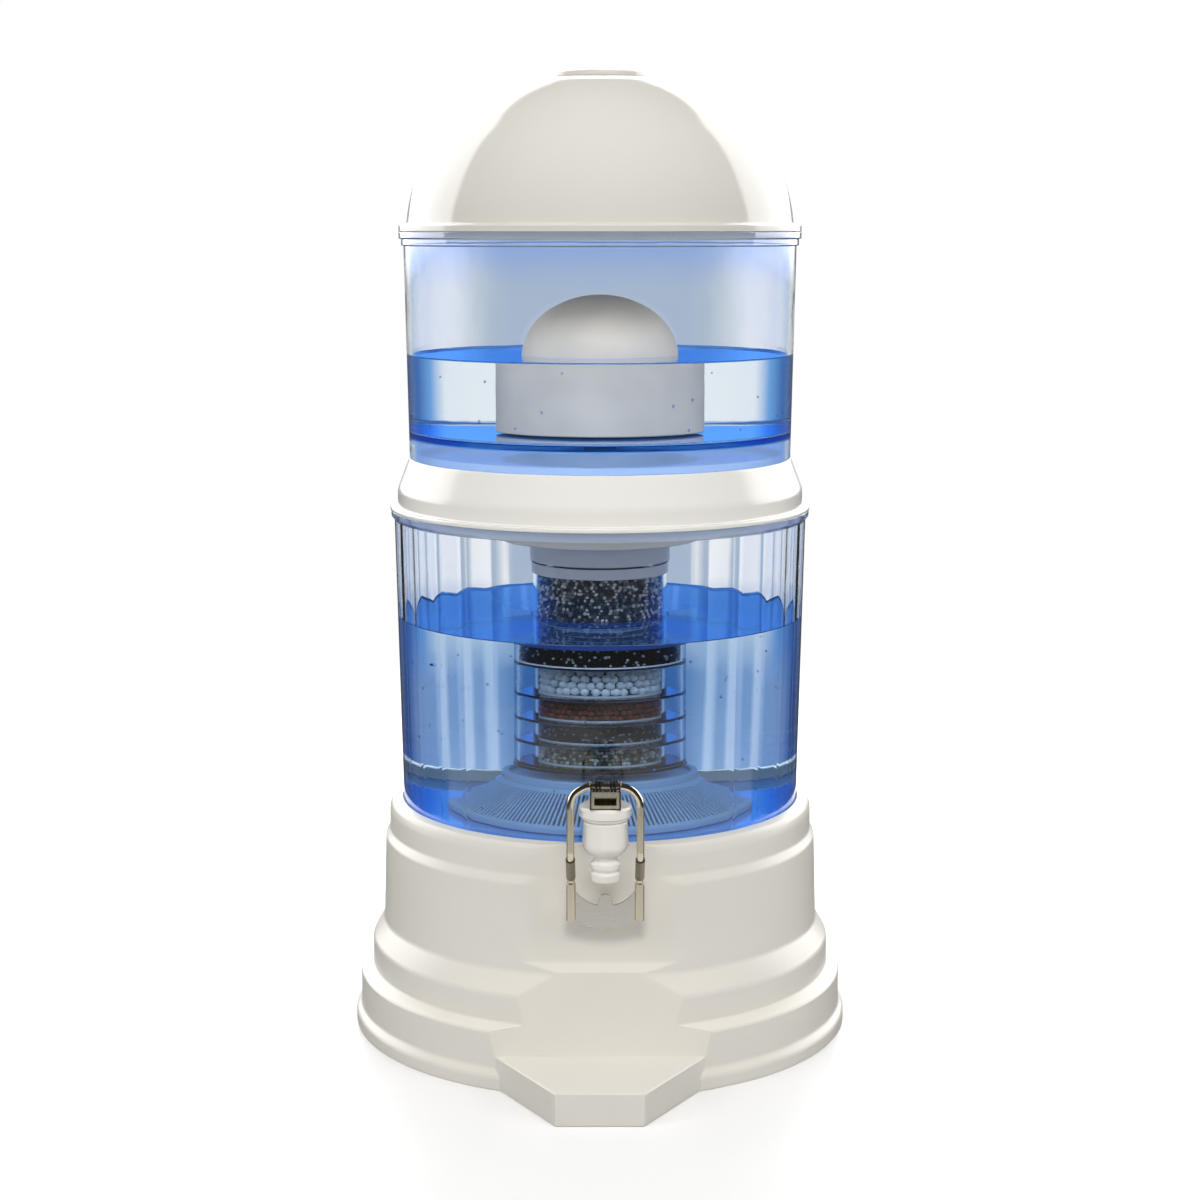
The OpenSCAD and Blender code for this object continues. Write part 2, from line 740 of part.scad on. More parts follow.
module lever_bracket() {
    w = 2 * bracket_x;
    depth = ear_front - ear_back;
    front_h = 10.6;
    window_x = bracket_x - 2.5;
    back_h = 8;
    color("#a79a80") translate([tap_x, axis_y, z_bonnet_top]) {
        // base on the bonnet
        translate([-bracket_x, -ear_front, 0]) cube([w, depth, sheet_t]);
        // front plate with its window
        difference() {
            translate([-bracket_x, -ear_front, 0]) cube([w, sheet_t, front_h]);
            translate([-window_x, -ear_front - cut, 2.7]) cube([2 * window_x, sheet_t + 2 * cut, 5.3]);
        }
        translate([-bracket_x, -ear_back - sheet_t, 0]) cube([w, sheet_t, back_h]);
        // ears that carry the lever's bar
        for (side = [-1, 1])
            difference() {
                union() {
                    translate([side * (bracket_x - sheet_t / 2) - sheet_t / 2, -ear_front, 0])
                        cube([sheet_t, depth, pivot_h]);
                    translate([side * (bracket_x - sheet_t / 2), -pivot_y, pivot_h])
                        rotate([0, 90, 0]) cylinder(r = wire_r + 1.3, h = sheet_t, center = true);
                }
                translate([side * bracket_x, -pivot_y, pivot_h])
                    rotate([0, 90, 0]) cylinder(r = wire_r + run_fit, h = 4 * sheet_t, center = true);
            }
    }
}

// One bent wire: bar, shoulders, upper legs, slanting legs and lower legs, with the lifting finger
module lever_frame() {
    bar = bracket_x + 0.6;
    shoulder_h = 10;
    half = [
        [bar, -pivot_y, z_pivot],
        [bar + 4.4, -pivot_y, z_pivot - 2],
        [leg_x - 2, -pivot_y, z_pivot - 5.6],
        [leg_x, -pivot_y, z_pivot - shoulder_h],
        [leg_x, -pivot_y, z_slant],
        [leg_x, -lower_y, z_lower_leg],
        [leg_x, -lower_y, z_leg_end + wire_r]
    ];
    other = [for (i = [len(half) - 1 : -1 : 0]) [-half[i][0], half[i][1], half[i][2]]];
    finger_r = 1.2;
    finger_low_y = tap_reach + valve_r + 1;
    color("#b0a488") translate([tap_x, axis_y, 0]) {
        wire(concat(other, half), wire_r);
        // the finger that lifts the valve stem
        rotate([0, -90, 0]) linear_extrude(height = finger_w, center = true) {
            translate([z_finger, -tap_reach]) circle(r = finger_r + 0.3, $fn = 32);
            polygon([
                [z_pivot - finger_r, -pivot_y],
                [z_pivot + finger_r, -pivot_y],
                [z_finger + finger_r, -finger_low_y],
                [z_finger + finger_r, -tap_reach],
                [z_finger - finger_r, -tap_reach],
                [z_finger - finger_r, -finger_low_y]
            ]);
        }
    }
}

// Sleeves on the slanting part of the wire
module lever_sleeves() {
    slope = atan2(set_back, slant_h);
    long = norm([set_back, slant_h]);
    color("#8d846f") for (side = [-1, 1])
        translate([tap_x + side * leg_x, axis_y - pivot_y, z_slant])
            rotate([180 + slope, 0, 0])
                translate([0, 0, 2]) tube(wire_r + sleeve_wall, wire_r + close_fit, long - 4.5, $fn = 48);
}

// Push plate between two rolled edges that hold the wire's lower legs
module lever_plate() {
    dip_r = 20.3;
    belly_r = 34;
    tab_r = 4.1;
    plate_top = 17;
    plate_x = leg_x - wire_r - 0.1;
    z0 = z_leg_end - 5;
    color("#cfc9b8") translate([tap_x, axis_y - lower_y, 0]) {
        for (side = [-1, 1])
            translate([side * leg_x, 0, z_leg_end]) tube(tube_r, wire_r + close_fit, lower_leg - 2.5, $fn = 48);
        rotate([90, 0, 0]) linear_extrude(height = sheet_t, center = true) {
            difference() {
                intersection() {
                    translate([-plate_x, z0]) square([2 * plate_x, plate_top + 5.5]);
                    translate([0, z0 + belly_r]) circle(r = belly_r);
                }
                translate([0, z0 + 13.5 + dip_r]) circle(r = dip_r);
            }
            translate([0, z0 + plate_top]) circle(r = tab_r, $fn = 48);
            translate([-tab_r, z0 + 10]) square([2 * tab_r, plate_top - 10]);
        }
    }
}

// Torsion spring round the lever's bar, in two halves with the finger between them
module lever_spring() {
    coil_r = wire_r + 0.15 + spring_r;
    half_turns = lever_turns / 2;
    inner_x = finger_w / 2 + 0.3 + spring_r;
    outer_x = bracket_x - sheet_t - 0.3 - spring_r;
    pitch = (outer_x - inner_x) / half_turns;
    color("#6f695c") translate([tap_x, axis_y - pivot_y, z_pivot])
        for (side = [-1, 1])
            translate([side * inner_x, 0, 0]) rotate([0, side * 90, 0]) coil(coil_r, spring_r, pitch, half_turns);
}

module middle_lid() {
    low_r = mid_band_r - mid_wall;
    z1 = mid_flange_t;
    z2 = z1 + mid_band_h;
    z3 = z2 + mid_cone_h;
    skirt_r = lower_mouth_r - loose_fit;
    ring_r = upper_r - upper_wall - loose_fit;
    color("#e2dfd8") translate([0, axis_y, z_mid]) rotate_extrude() polygon([
        [well_hole_r, z3 - well_depth],
        [well_r, z3 - well_depth],
        [well_r, z3 - mid_wall],
        [upper_r - mid_wall, z3 - mid_wall],
        [low_r, z2 - mid_wall / 2],
        [low_r, -mid_skirt_h],
        [skirt_r, -mid_skirt_h],
        [skirt_r, 0],
        [mid_flange_r, 0],
        [mid_flange_r, z1],
        [mid_band_r, z1],
        [mid_band_r - 0.3, z2],
        [upper_r + 0.8, z3 - 1],
        [upper_r, z3],
        [ring_r, z3],
        [ring_r, z3 + locating_h],
        [ring_r - mid_wall, z3 + locating_h],
        [ring_r - mid_wall, z3],
        [well_r - mid_wall, z3],
        [well_r - mid_wall, z3 - well_depth + mid_wall],
        [well_hole_r, z3 - well_depth + mid_wall]
    ]);
}

module upper_tank() {
    wall_in = upper_r - upper_wall;
    rim_low = upper_h - upper_rim_h;
    in_z = upper_skirt_h + upper_floor;
    color("#6ea2e4", 0.45) translate([0, axis_y, z_mid_top]) difference() {
        rotate_extrude() polygon([
            [0, upper_skirt_h],
            [wall_in, upper_skirt_h],
            [wall_in, 0],
            [upper_r, 0],
            [upper_top_r, rim_low],
            [upper_top_r + upper_rim_out / 2, rim_low],
            [upper_top_r + upper_rim_out / 2, rim_low + upper_rim_h / 2],
            [upper_rim_r, rim_low + upper_rim_h / 2],
            [upper_rim_r, upper_h],
            [upper_mouth_r, upper_h],
            [wall_in + 0.3, in_z],
            [0, in_z]
        ]);
        translate([0, 0, upper_skirt_h - cut]) cylinder(r = stem_r + 0.4, h = upper_floor + 2 * cut);
    }
}

module ceramic_dome() {
    side_h = ceramic_h - ceramic_cap_h;
    in_r = ceramic_r - ceramic_wall;
    in_cap = ceramic_cap_h - ceramic_wall;
    outer = [for (a = [0 : 6 : 90]) [ceramic_r * cos(a), side_h + ceramic_cap_h * sin(a)]];
    inner = [for (a = [90 : -10 : 0]) [in_r * cos(a), side_h + in_cap * sin(a)]];
    color("#d9d6d1") translate([0, axis_y, z_upper_in + ceramic_lift])
        rotate_extrude() polygon(concat([[ceramic_r, 0]], outer, inner, [[in_r, 0]]));
}

// Plastic base glued into the ceramic, with the long threaded stem
module ceramic_base() {
    r = ceramic_r - ceramic_wall - close_fit;
    color("#e6e4df") translate([0, axis_y, 0]) difference() {
        union() {
            translate([0, 0, z_ceramic_base]) cylinder(r = r, h = ceramic_base_t);
            translate([0, 0, z_stem]) cylinder(r = stem_r, h = z_ceramic_base - z_stem + cut);
        }
        translate([0, 0, z_stem - cut])
            cylinder(r = stem_bore_r, h = z_ceramic_base + ceramic_base_t - z_stem + 2 * cut);
    }
}

module ceramic_seal() {
    color("#9fb4c8") translate([0, axis_y, z_upper_in]) tube(stem_r + 12, stem_r + close_fit, seal_t);
}

module stem_washer() {
    color("#9fb4c8") translate([0, axis_y, z_upper_floor - seal_t]) tube(stem_r + 8, stem_r + close_fit, seal_t);
}

module stem_nut() {
    wings = 4;
    color("#e6e4df") translate([0, axis_y, z_upper_floor - seal_t - stem_nut_h]) difference() {
        union() {
            cylinder(r = stem_r + 5, h = stem_nut_h);
            for (i = [0 : wings - 1])
                rotate([0, 0, 90 * i]) translate([0, -1.2, 0]) cube([stem_r + 9, 2.4, stem_nut_h - 1.5]);
        }
        translate([0, 0, -cut]) cylinder(r = stem_r + close_fit, h = stem_nut_h + 2 * cut);
    }
}

module cartridge_cap() {
    z0 = z_cap - cap_h;
    socket_floor = 2;
    color("#c3c6cc") translate([0, axis_y, 0]) difference() {
        union() {
            difference() {
                translate([0, 0, z0]) cylinder(r = cap_r, h = cap_h);
                translate([0, 0, z0 - cut]) cylinder(r = cap_r - cart_wall, h = cap_h - cap_plate + cut);
            }
            translate([0, 0, z_stem - socket_floor])
                cylinder(r = stem_r + 4, h = z_cap - z_stem + socket_floor);
        }
        translate([0, 0, z_stem]) cylinder(r = stem_r + close_fit, h = stem_grip + cut);
        translate([0, 0, z_stem - socket_floor - cut])
            cylinder(r = stem_bore_r, h = socket_floor + 2 * cut);
    }
}

module cap_seal() {
    color("#9fb4c8") translate([0, axis_y, z_cap - cap_plate - seal_t])
        tube(canister_r, canister_r - cart_wall - 1, seal_t);
}

// Grey ring below the cap
module cartridge_ring() {
    color("#b9bec8") translate([0, axis_y, z_carbon_top]) tube(cap_r - 1, canister_r + close_fit, cart_ring_h);
}

module carbon_canister() {
    color("#b8c4d4", 0.5) translate([0, axis_y, z_canister]) difference() {
        cylinder(r = canister_r, h = carbon_h);
        translate([0, 0, cart_wall]) cylinder(r = canister_r - cart_wall, h = carbon_h);
        perforations(canister_r - cart_wall, cart_wall);
    }
}

module carbon_bed() {
    color("#1c1e1f") translate([0, axis_y, z_canister + cart_wall])
        cylinder(r = canister_r - cart_wall - fill_gap, h = carbon_bed_h);
}

// Holds the carbon canister on the stack of trays
module joining_ring() {
    socket_h = 4;
    color("#2b4a8f") translate([0, axis_y, z_trays]) difference() {
        cylinder(r = cap_r - 0.4, h = join_h + socket_h);
        translate([0, 0, join_h]) cylinder(r = canister_r + close_fit, h = socket_h + cut);
        translate([0, 0, -cut]) cylinder(r = tray_r - cart_wall - 4, h = join_h + 2 * cut);
    }
}

// One tray: perforated floor, outer wall, and a chamber wall unless the bed fills it
module tray(i) {
    color("#a9c4e6", 0.5) translate([0, axis_y, tray_z(i)]) {
        difference() {
            cylinder(r = tray_r, h = tray_h[i]);
            translate([0, 0, tray_floor]) cylinder(r = tray_r - cart_wall, h = tray_h[i]);
            perforations(chamber_r - cart_wall, tray_floor);
        }
        if (i > 0)
            translate([0, 0, tray_floor / 2])
                tube(chamber_r, chamber_r - cart_wall, tray_h[i] - tray_floor / 2);
    }
}

function bed_r(i) = (i == 0 ? tray_r : chamber_r) - cart_wall - fill_gap;

module bed(i, tint) {
    color(tint) translate([0, axis_y, tray_z(i) + tray_floor + screen_t])
        cylinder(r = bed_r(i), h = tray_h[i] - tray_floor - screen_t - fill_gap);
}

module tray_1() { tray(0); }
module tray_2() { tray(1); }
module tray_3() { tray(2); }
module tray_4() { tray(3); }
module tray_5() { tray(4); }
module bed_1() { bed(0, "#17191b"); }
module bed_2() { bed(1, "#e9edf2"); }
module bed_3() { bed(2, "#7e3a26"); }
module bed_4() { bed(3, "#3b4047"); }
module bed_5() { bed(4, "#8b8d84"); }

module filter_screens() {
    color("#e8ebee") for (i = [0 : 4])
        translate([0, axis_y, tray_z(i) + tray_floor]) cylinder(r = bed_r(i), h = screen_t);
}

module cartridge_outlet() {
    color("#a9c4e6", 0.5) translate([0, axis_y, z_outlet]) difference() {
        cylinder(r = tray_r + 0.6, h = outlet_t);
        perforations(chamber_r, outlet_t);
    }
}

module lid_dome() {
    rim_r0 = upper_rim_r;
    skirt_r = upper_mouth_r - loose_fit;
    in_r = dome_r - lid_wall;
    in_h = dome_h - lid_wall;
    steps = 24;
    outer = [for (i = [0 : steps]) let (a = dome_a0 + (dome_a1 - dome_a0) * i / steps)
        [dome_r * cos(a), z_dome_mid + dome_h * sin(a)]];
    inner = [for (i = [steps : -1 : 0]) let (a = dome_a0 + (dome_a1 - dome_a0) * i / steps)
        [in_r * cos(a), z_dome_mid + in_h * sin(a)]];
    color("#dedad2") translate([0, axis_y, 0]) difference() {
        rotate_extrude() polygon(concat(
            [[skirt_r, z_lid - lid_skirt_h],
             [skirt_r, z_lid],
             [rim_r0, z_lid],
             [rim_r0, z_dome - 1],
             [rim_r0 - 1, z_dome]],
            outer,
            [[vent_r + 1, z_vent], [0, z_vent], [0, z_vent - lid_wall], [vent_r + 1, z_vent - lid_wall]],
            inner,
            [[skirt_r - 2, z_lid - lid_skirt_h]]
        ));
        translate([0, 0, z_vent - lid_wall - cut]) cylinder(r = vent_plug_r + close_fit, h = lid_wall + 2 * cut);
    }
}

// Press-in vent cap, with air slots through its plug
module vent_cap() {
    plug_h = lid_wall + 4;
    color("#dedad2") translate([0, axis_y, z_vent]) difference() {
        union() {
            rotate_extrude() polygon([
                [0, 0],
                [vent_r, 0],
                [vent_r, vent_h - 1],
                [vent_r - 1, vent_h],
                [0, vent_h]
            ]);
            translate([0, 0, -plug_h]) cylinder(r = vent_plug_r, h = plug_h + cut);
        }
        translate([0, 0, -plug_h - cut]) cylinder(r = vent_plug_r - lid_wall, h = plug_h + cut);
        for (i = [0 : 5])
            rotate([0, 0, 60 * i])
                translate([vent_plug_r - 2 * lid_wall, -2, -plug_h - cut]) cube([3 * lid_wall, 4, 3]);
    }
}

stand();
lower_tank();
mineral_case();
mineral_case_lid();
mineral_stones();
tap_body();
tap_bonnet();
tap_outer_washer();
tap_inner_washer();
tap_nut();
valve_stem();
valve_seal();
valve_spring();
lever_bracket();
lever_frame();
lever_sleeves();
lever_plate();
lever_spring();
middle_lid();
upper_tank();
ceramic_dome();
ceramic_base();
ceramic_seal();
stem_washer();
stem_nut();
cartridge_cap();
cap_seal();
cartridge_ring();
carbon_canister();
carbon_bed();
joining_ring();
tray_1();
tray_2();
tray_3();
tray_4();
tray_5();
bed_1();
bed_2();
bed_3();
bed_4();
bed_5();
filter_screens();
cartridge_outlet();
lid_dome();
vent_cap();
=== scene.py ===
"""Gravity water filter: the look of each piece, in the order in which the filter is put together."""
import math
import random

import bmesh
import bpy
from mathutils import Matrix, Vector


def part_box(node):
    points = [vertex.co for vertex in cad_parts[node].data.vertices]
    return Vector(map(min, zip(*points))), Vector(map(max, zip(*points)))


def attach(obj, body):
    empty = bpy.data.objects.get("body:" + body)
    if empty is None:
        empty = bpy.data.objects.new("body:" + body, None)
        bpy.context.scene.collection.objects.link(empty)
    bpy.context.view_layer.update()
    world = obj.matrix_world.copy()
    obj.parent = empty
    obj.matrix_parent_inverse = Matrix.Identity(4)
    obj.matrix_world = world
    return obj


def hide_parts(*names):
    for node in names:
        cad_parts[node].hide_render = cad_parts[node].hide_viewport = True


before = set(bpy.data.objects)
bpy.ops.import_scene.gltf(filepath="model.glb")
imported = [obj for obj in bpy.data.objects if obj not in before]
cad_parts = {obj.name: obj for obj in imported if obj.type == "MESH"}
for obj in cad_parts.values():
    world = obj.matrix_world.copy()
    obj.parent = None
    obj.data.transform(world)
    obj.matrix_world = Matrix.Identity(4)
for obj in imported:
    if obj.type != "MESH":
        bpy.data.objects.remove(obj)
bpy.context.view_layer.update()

# ---- Stand ----
# The white base is one moulding of polypropylene, hollow underneath. Its front is cut back to a flat
# pad behind the tap and a niche below it, and a foot reaches forward so that the filter can't tip.

# Meshes are made in millimetres about the tanks' upright axis, with the tap towards -Y
tank_low, tank_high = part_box("upper_tank")
axis_y = (tank_low.y + tank_high.y) / 2


def colour(code):
    """A hex colour as it is seen on the screen, turned to linear light."""
    parts = [int(code[i:i + 2], 16) / 255 for i in (1, 3, 5)]
    return tuple(c / 12.92 if c <= 0.04045 else ((c + 0.055) / 1.055) ** 2.4 for c in parts) + (1.0,)


def add(tree, kind, values={}, links={}, **settings):
    """Adds a shader node with its settings, the values of its sockets and what is linked to them."""
    made = tree.nodes.new("ShaderNode" + kind)
    for name, value in settings.items():
        setattr(made, name, value)
    for name, value in values.items():
        made.inputs[name].default_value = value
    for name, source in links.items():
        socket = source.outputs[0] if isinstance(source, bpy.types.Node) else source
        tree.links.new(socket, made.inputs[name])
    return made


def new_material(name):
    material = bpy.data.materials.new(name)
    material.use_nodes = True
    material.node_tree.nodes.clear()
    return material, material.node_tree


def noise(tree, scale, detail=2.0, distortion=0.0):
    """Noise in the piece's own space; the scale is in grains per metre."""
    place = add(tree, "TexCoord").outputs["Object"]
    return add(tree, "TexNoise", {"Scale": scale, "Detail": detail, "Distortion": distortion},
               {"Vector": place})


def between(tree, tone, shade, factor):
    """The colour between two hex colours, by a linked factor."""
    mixed = add(tree, "Mix", {6: colour(tone), 7: colour(shade)}, {0: factor}, data_type="RGBA")
    return mixed.outputs[2]


def spread(tree, value, low, high, start=0.0, stop=1.0):
    """Maps a linked value, from start to stop, to the range from low to high."""
    return add(tree, "MapRange", {"From Min": start, "From Max": stop, "To Min": low, "To Max": high},
               {"Value": value})


def relief(tree, height, strength, distance):
    """Fine relief of a height in metres, taken from a texture."""
    return add(tree, "Bump", {"Strength": strength, "Distance": distance}, {"Height": height})


def principled(tree, values, links):
    """Ends an opaque material with its shader."""
    shader = add(tree, "BsdfPrincipled", values, links)
    add(tree, "OutputMaterial", {}, {"Surface": shader})


def bevelled(bm, geom, offset, segments, affect):
    bmesh.ops.bevel(bm, geom=geom, offset=offset, offset_type="OFFSET", segments=segments, profile=0.5,
                    affect=affect, clamp_overlap=True, material=-1)


def spun(bm, steps):
    """Spins a drawn line once round the axis into a closed skin."""
    bmesh.ops.spin(bm, geom=bm.verts[:] + bm.edges[:], cent=(0, 0, 0), axis=(0, 0, 1), dvec=(0, 0, 0),
                   angle=2 * math.pi, steps=steps, use_merge=True, use_duplicate=False)
    bmesh.ops.remove_doubles(bm, verts=bm.verts[:], dist=0.001)


def turned(outline, steps=180, layer=None):
    """Spins an outline of (radius, height, rounding) about the axis. If it starts there, it ends there."""
    bm = bmesh.new()
    side = bm.verts.layers.int.new("side")
    points = [(p + (0,))[:3] for p in outline]
    line = [bm.verts.new((r, 0, z)) for r, z, _ in points]
    if layer:
        for vert, mark in zip(line, layer):
            vert[side] = mark
    for a, b in zip(line, line[1:]):
        bm.edges.new((a, b))
    if points[0][0] > 0:
        bm.edges.new((line[-1], line[0]))
    for vert, (_, _, rounding) in zip(line, points):
        if rounding:
            bevelled(bm, [vert], rounding, 5, "VERTICES")
    spun(bm, steps)
    bmesh.ops.recalc_face_normals(bm, faces=bm.faces[:])
    return bm


def prism(plan, z0, z1, rounding=0):
    """A plan of (x, y) points drawn up from z0 to z1, with its edges rounded."""
    bm = bmesh.new()
    face = bm.faces.new([bm.verts.new((x, y, z0)) for x, y in plan])
    raised = bmesh.ops.extrude_face_region(bm, geom=[face])["geom"]
    top = [part for part in raised if isinstance(part, bmesh.types.BMVert)]
    bmesh.ops.translate(bm, vec=(0, 0, z1 - z0), verts=top)
    bmesh.ops.recalc_face_normals(bm, faces=bm.faces[:])
    if rounding:
        bevelled(bm, bm.edges[:], rounding, 3, "EDGES")
    return bm


def as_mesh(bm, name="part"):
    """A bmesh as a mesh; the bmesh is used up."""
    mesh = bpy.data.meshes.new(name)
    bm.to_mesh(mesh)
    bm.free()
    return mesh


def in_scene(name, data):
    obj = bpy.data.objects.new(name, data)
    bpy.context.scene.collection.objects.link(obj)
    return obj


def drawn_out(obj):
    """A new bmesh of an object as its modifiers or its curve make it."""
    mesh = bpy.data.meshes.new_from_object(obj.evaluated_get(bpy.context.evaluated_depsgraph_get()))
    bm = bmesh.new()
    bm.from_mesh(mesh)
    bpy.data.meshes.remove(mesh)
    return bm


def combined(bm, other, how):
    """The union or difference of two closed meshes; both are used up."""
    pair = [in_scene("part", as_mesh(shape)) for shape in (bm, other)]
    cutter = pair[0].modifiers.new("with", "BOOLEAN")
    cutter.operation, cutter.solver, cutter.object = how, "MANIFOLD", pair[1]
    result = drawn_out(pair[0])
    for obj in pair:
        bpy.data.objects.remove(obj)
    return result


def piece(bm, name, body, nodes, materials, crease=32, weighted=True):
    """Makes a finished mesh an object in the frame: smooth but for edges over the crease angle."""
    for face in bm.faces:
        face.smooth = True
    for edge in bm.edges:
        edge.smooth = edge.smooth and edge.calc_face_angle(0) < math.radians(crease)
    bmesh.ops.scale(bm, vec=(0.001, 0.001, 0.001), verts=bm.verts[:])
    bmesh.ops.translate(bm, vec=(0, axis_y, 0), verts=bm.verts[:])
    obj = in_scene(name, as_mesh(bm, name))
    for material in materials:
        obj.data.materials.append(material)
    if weighted:
        obj.modifiers.new("even shading", "WEIGHTED_NORMAL").keep_sharp = True
    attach(obj, body)
    if nodes:
        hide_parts(*nodes)


# An injection-moulded plastic with a fine satin skin, faint cloudy changes of tone and a sheen that
# keeps reflections soft: flow clouds about 60 mm across, and a grain coarser than the real 0.2 mm.
def moulded(name, tone, shade, roughness, grain):
    material, tree = new_material(name)
    clouds = noise(tree, 16.0)
    skin = noise(tree, 650.0)
    sheen = spread(tree, clouds, roughness - 0.03, roughness + 0.05)
    principled(tree, {"IOR": 1.49}, {"Base Color": between(tree, tone, shade, clouds), "Roughness": sheen,
                                     "Normal": relief(tree, skin, grain, 0.0001)})
    return material


stand_white = moulded("moulded polypropylene, satin", "#E2DED5", "#E6E2D9", 0.34, 0.05)

# Steps of the outside from the floor up: (radius, height, rounding)
wall = 3.0
recess_r, lip_r, top_z = 123.7, 130.5, 143.4
rim_r, band_d, band_c, band_b_low, band_b, band_a = 154.9, 151.5, 143.6, 136.4, 134.8, 132.1
outside = [
    (rim_r, 0, 0.7), (rim_r, 8, 1.8), (band_d, 12, 1.2), (band_d, 18.8), (band_d, 19.2), (band_d, 34, 1.5),
    (band_c, 37.4, 0.9), (band_c, 54, 1.8), (band_b_low, 66.8, 1.5), (band_b_low - 0.05, 69.9),
    (band_b_low - 0.15, 72.4), (band_b_low - 0.2, 73.6), (band_b_low - 0.3, 76), (band_b_low - 0.6, 86),
    (band_b_low - 0.9, 96), (band_b + 0.35, 107), (band_b, 118.8, 1.0), (band_a, 123.9, 0.9),
    (band_a, 136, 1.5), (lip_r + 0.6, 140.4, 1.2), (lip_r - 0.6, 142.2, 0.8), (recess_r, top_z, 0.7)]
deck_r, deck_z = 99, 133
inside = [
    (recess_r, deck_z), (deck_r, deck_z, 0.6), (deck_r, deck_z - wall, 0.6), (band_a - wall, deck_z - wall),
    (band_a - wall, 120.9), (band_b - wall, 115.8), (band_b_low - wall, 76), (band_b_low - wall, 72),
    (band_b_low - wall, 68), (band_b_low - wall, 63.8), (band_c - wall, 51), (band_c - wall, 34.4),
    (band_d - wall, 31), (band_d - wall, 16.6), (band_d - wall, 16.2), (band_d - wall, 10.5),
    (rim_r - wall, 6.5), (rim_r - wall, 0, 0.6)]
stand = turned(outside + inside, 180, [0] * len(outside) + [1] * len(inside))

# The columns of faces gather along the edges of the pad and the niche, then the front is pressed back
# onto their planes. A wide blend gives the pad its soft edges, a narrow one the niche its crisp ones.
side = stand.verts.layers.int["side"]
foot_h = 19.2
pad_y, pad_lean, pad_z = 126.0, 3.4, 73
niche_lean, niche_z = 4.6, 68.5
niche_y = pad_y + pad_lean + pad_z - niche_z
plain_turn, edge_turn, clear_turn, least_edge = 20, 32, 180, 8
for vert in stand.verts:
    x, y, z = vert.co
    radius = math.hypot(x, y)
    inner = vert[side]
    if z > pad_z:
        plane = pad_y + pad_lean * (top_z - z) / (top_z - pad_z)
    elif z > niche_z:
        plane = pad_y + pad_lean + pad_z - z
    else:
        plane = niche_y + niche_lean * (niche_z - z) / (niche_z - foot_h)
    plane -= wall * inner
    soft = min(max((z - 67) / 7, 0), 1)
    edge = math.degrees(math.acos(min(plane / radius, math.cos(math.radians(least_edge)))))
    reach = 0.4 + 2.4 * soft
    turn = abs(math.degrees(math.atan2(x, -y)))
    knots = [(0, 0), (plain_turn, edge - reach), (edge_turn, edge + reach), (clear_turn, clear_turn)]
    for (a0, b0), (a1, b1) in zip(knots, knots[1:]):
        if a0 <= turn <= a1 + 0.01:
            angle = math.radians(b0 + (b1 - b0) * (turn - a0) / (a1 - a0))
            break
    depth = radius * math.cos(angle)
    if z > foot_h - 0.2 - wall * inner:
        blend = 0.35 + 1.35 * soft
        mix = min(max(0.5 + 0.5 * (plane - depth) / blend, 0), 1)
        depth = plane + (depth - plane) * mix - blend * mix * (1 - mix)
    vert.co = (math.copysign(radius * math.sin(angle), x), -depth, z)

foot_plan = [(-61, -138.5), (-25, -197), (25, -197), (61, -138.5), (61, -118), (-61, -118)]
hollow_plan = [(-57.5, -135.5), (-23.4, -194), (23.4, -194), (57.5, -135.5), (57.5, -118), (-57.5, -118)]
stand = combined(stand, prism(foot_plan, 0, foot_h, 0.8), "UNION")
stand = combined(stand, prism(hollow_plan, -1, foot_h - wall), "DIFFERENCE")
piece(stand, "stand_moulding", "stand", ["stand"], [stand_white], crease=38)

# ---- Lower tank ----
# A clear tank of blue-tinted AS plastic, injection moulded with 3 mm walls. Its rim turns out, and the
# inside of each side is a fan of flat upright panels. A boss at the front takes the tap's shank.


# Clear styrene-acrylonitrile is hard and glossy. The stain, a colour and a density, is in the body of
# the plastic. Marked faces take a painted tone of the light or reflection that shows on them, and let less
# light through.
def clear_plastic(name, tone, ior, ripple=0.0, stain=None, painted_light_tone=None, painted_light_cover=0.0):
    material, tree = new_material(name)
    # moulding ripples about 25 mm long
    links = {"Normal": relief(tree, noise(tree, 40.0, 1.0), ripple, 0.0004)}
    if painted_light_tone:
        painted_light = add(tree, "Attribute", attribute_name="painted_light").outputs["Fac"]
        links["Base Color"] = between(tree, tone, painted_light_tone, painted_light)
        links["Transmission Weight"] = spread(tree, painted_light, 1.0, 1.0 - painted_light_cover)
    shader = add(tree, "BsdfPrincipled", {"Base Color": colour(tone), "Roughness": 0.0, "IOR": ior,
                                          "Transmission Weight": 1.0}, links)
    lets_lamps_in = add(tree, "BsdfTransparent")
    ray = add(tree, "LightPath")
    surface = add(tree, "MixShader", {}, {0: ray.outputs["Is Shadow Ray"], 1: shader, 2: lets_lamps_in})
    output = add(tree, "OutputMaterial", {}, {"Surface": surface})
    if stain:
        absorbed = add(tree, "VolumeAbsorption", {"Color": colour(stain[0]), "Density": stain[1]})
        tree.links.new(absorbed.outputs[0], output.inputs["Volume"])
    return material


def paint_light_on(bm, choose):
    """Marks how far each face takes a clear plastic's painted tone of light, from 0 to 1."""
    painted_light = bm.faces.layers.float.new("painted_light")
    for face in bm.faces:
        face[painted_light] = float(choose(face.calc_center_median(), face.normal))


# Light that is piped along the walls leaves at floors and skirts, which look deep blue: that light is
# painted on their faces as a blue tone
tank_plastic = clear_plastic("clear AS plastic, blue tint", "#FFFFFF", 1.57, 0.25, ("#38BCF1", 15.0),
                             "#58A6FA", 0.55)
tank_z, tank_in_z, rim_z, mouth_z, mouth_r = 133, 136, 318.7, 323.8, 123.84


def lower_wall_r(z):
    """Inside radius of the lower tank's wall."""
    return 120.3 + 3.54 * (z - tank_in_z) / 182.7


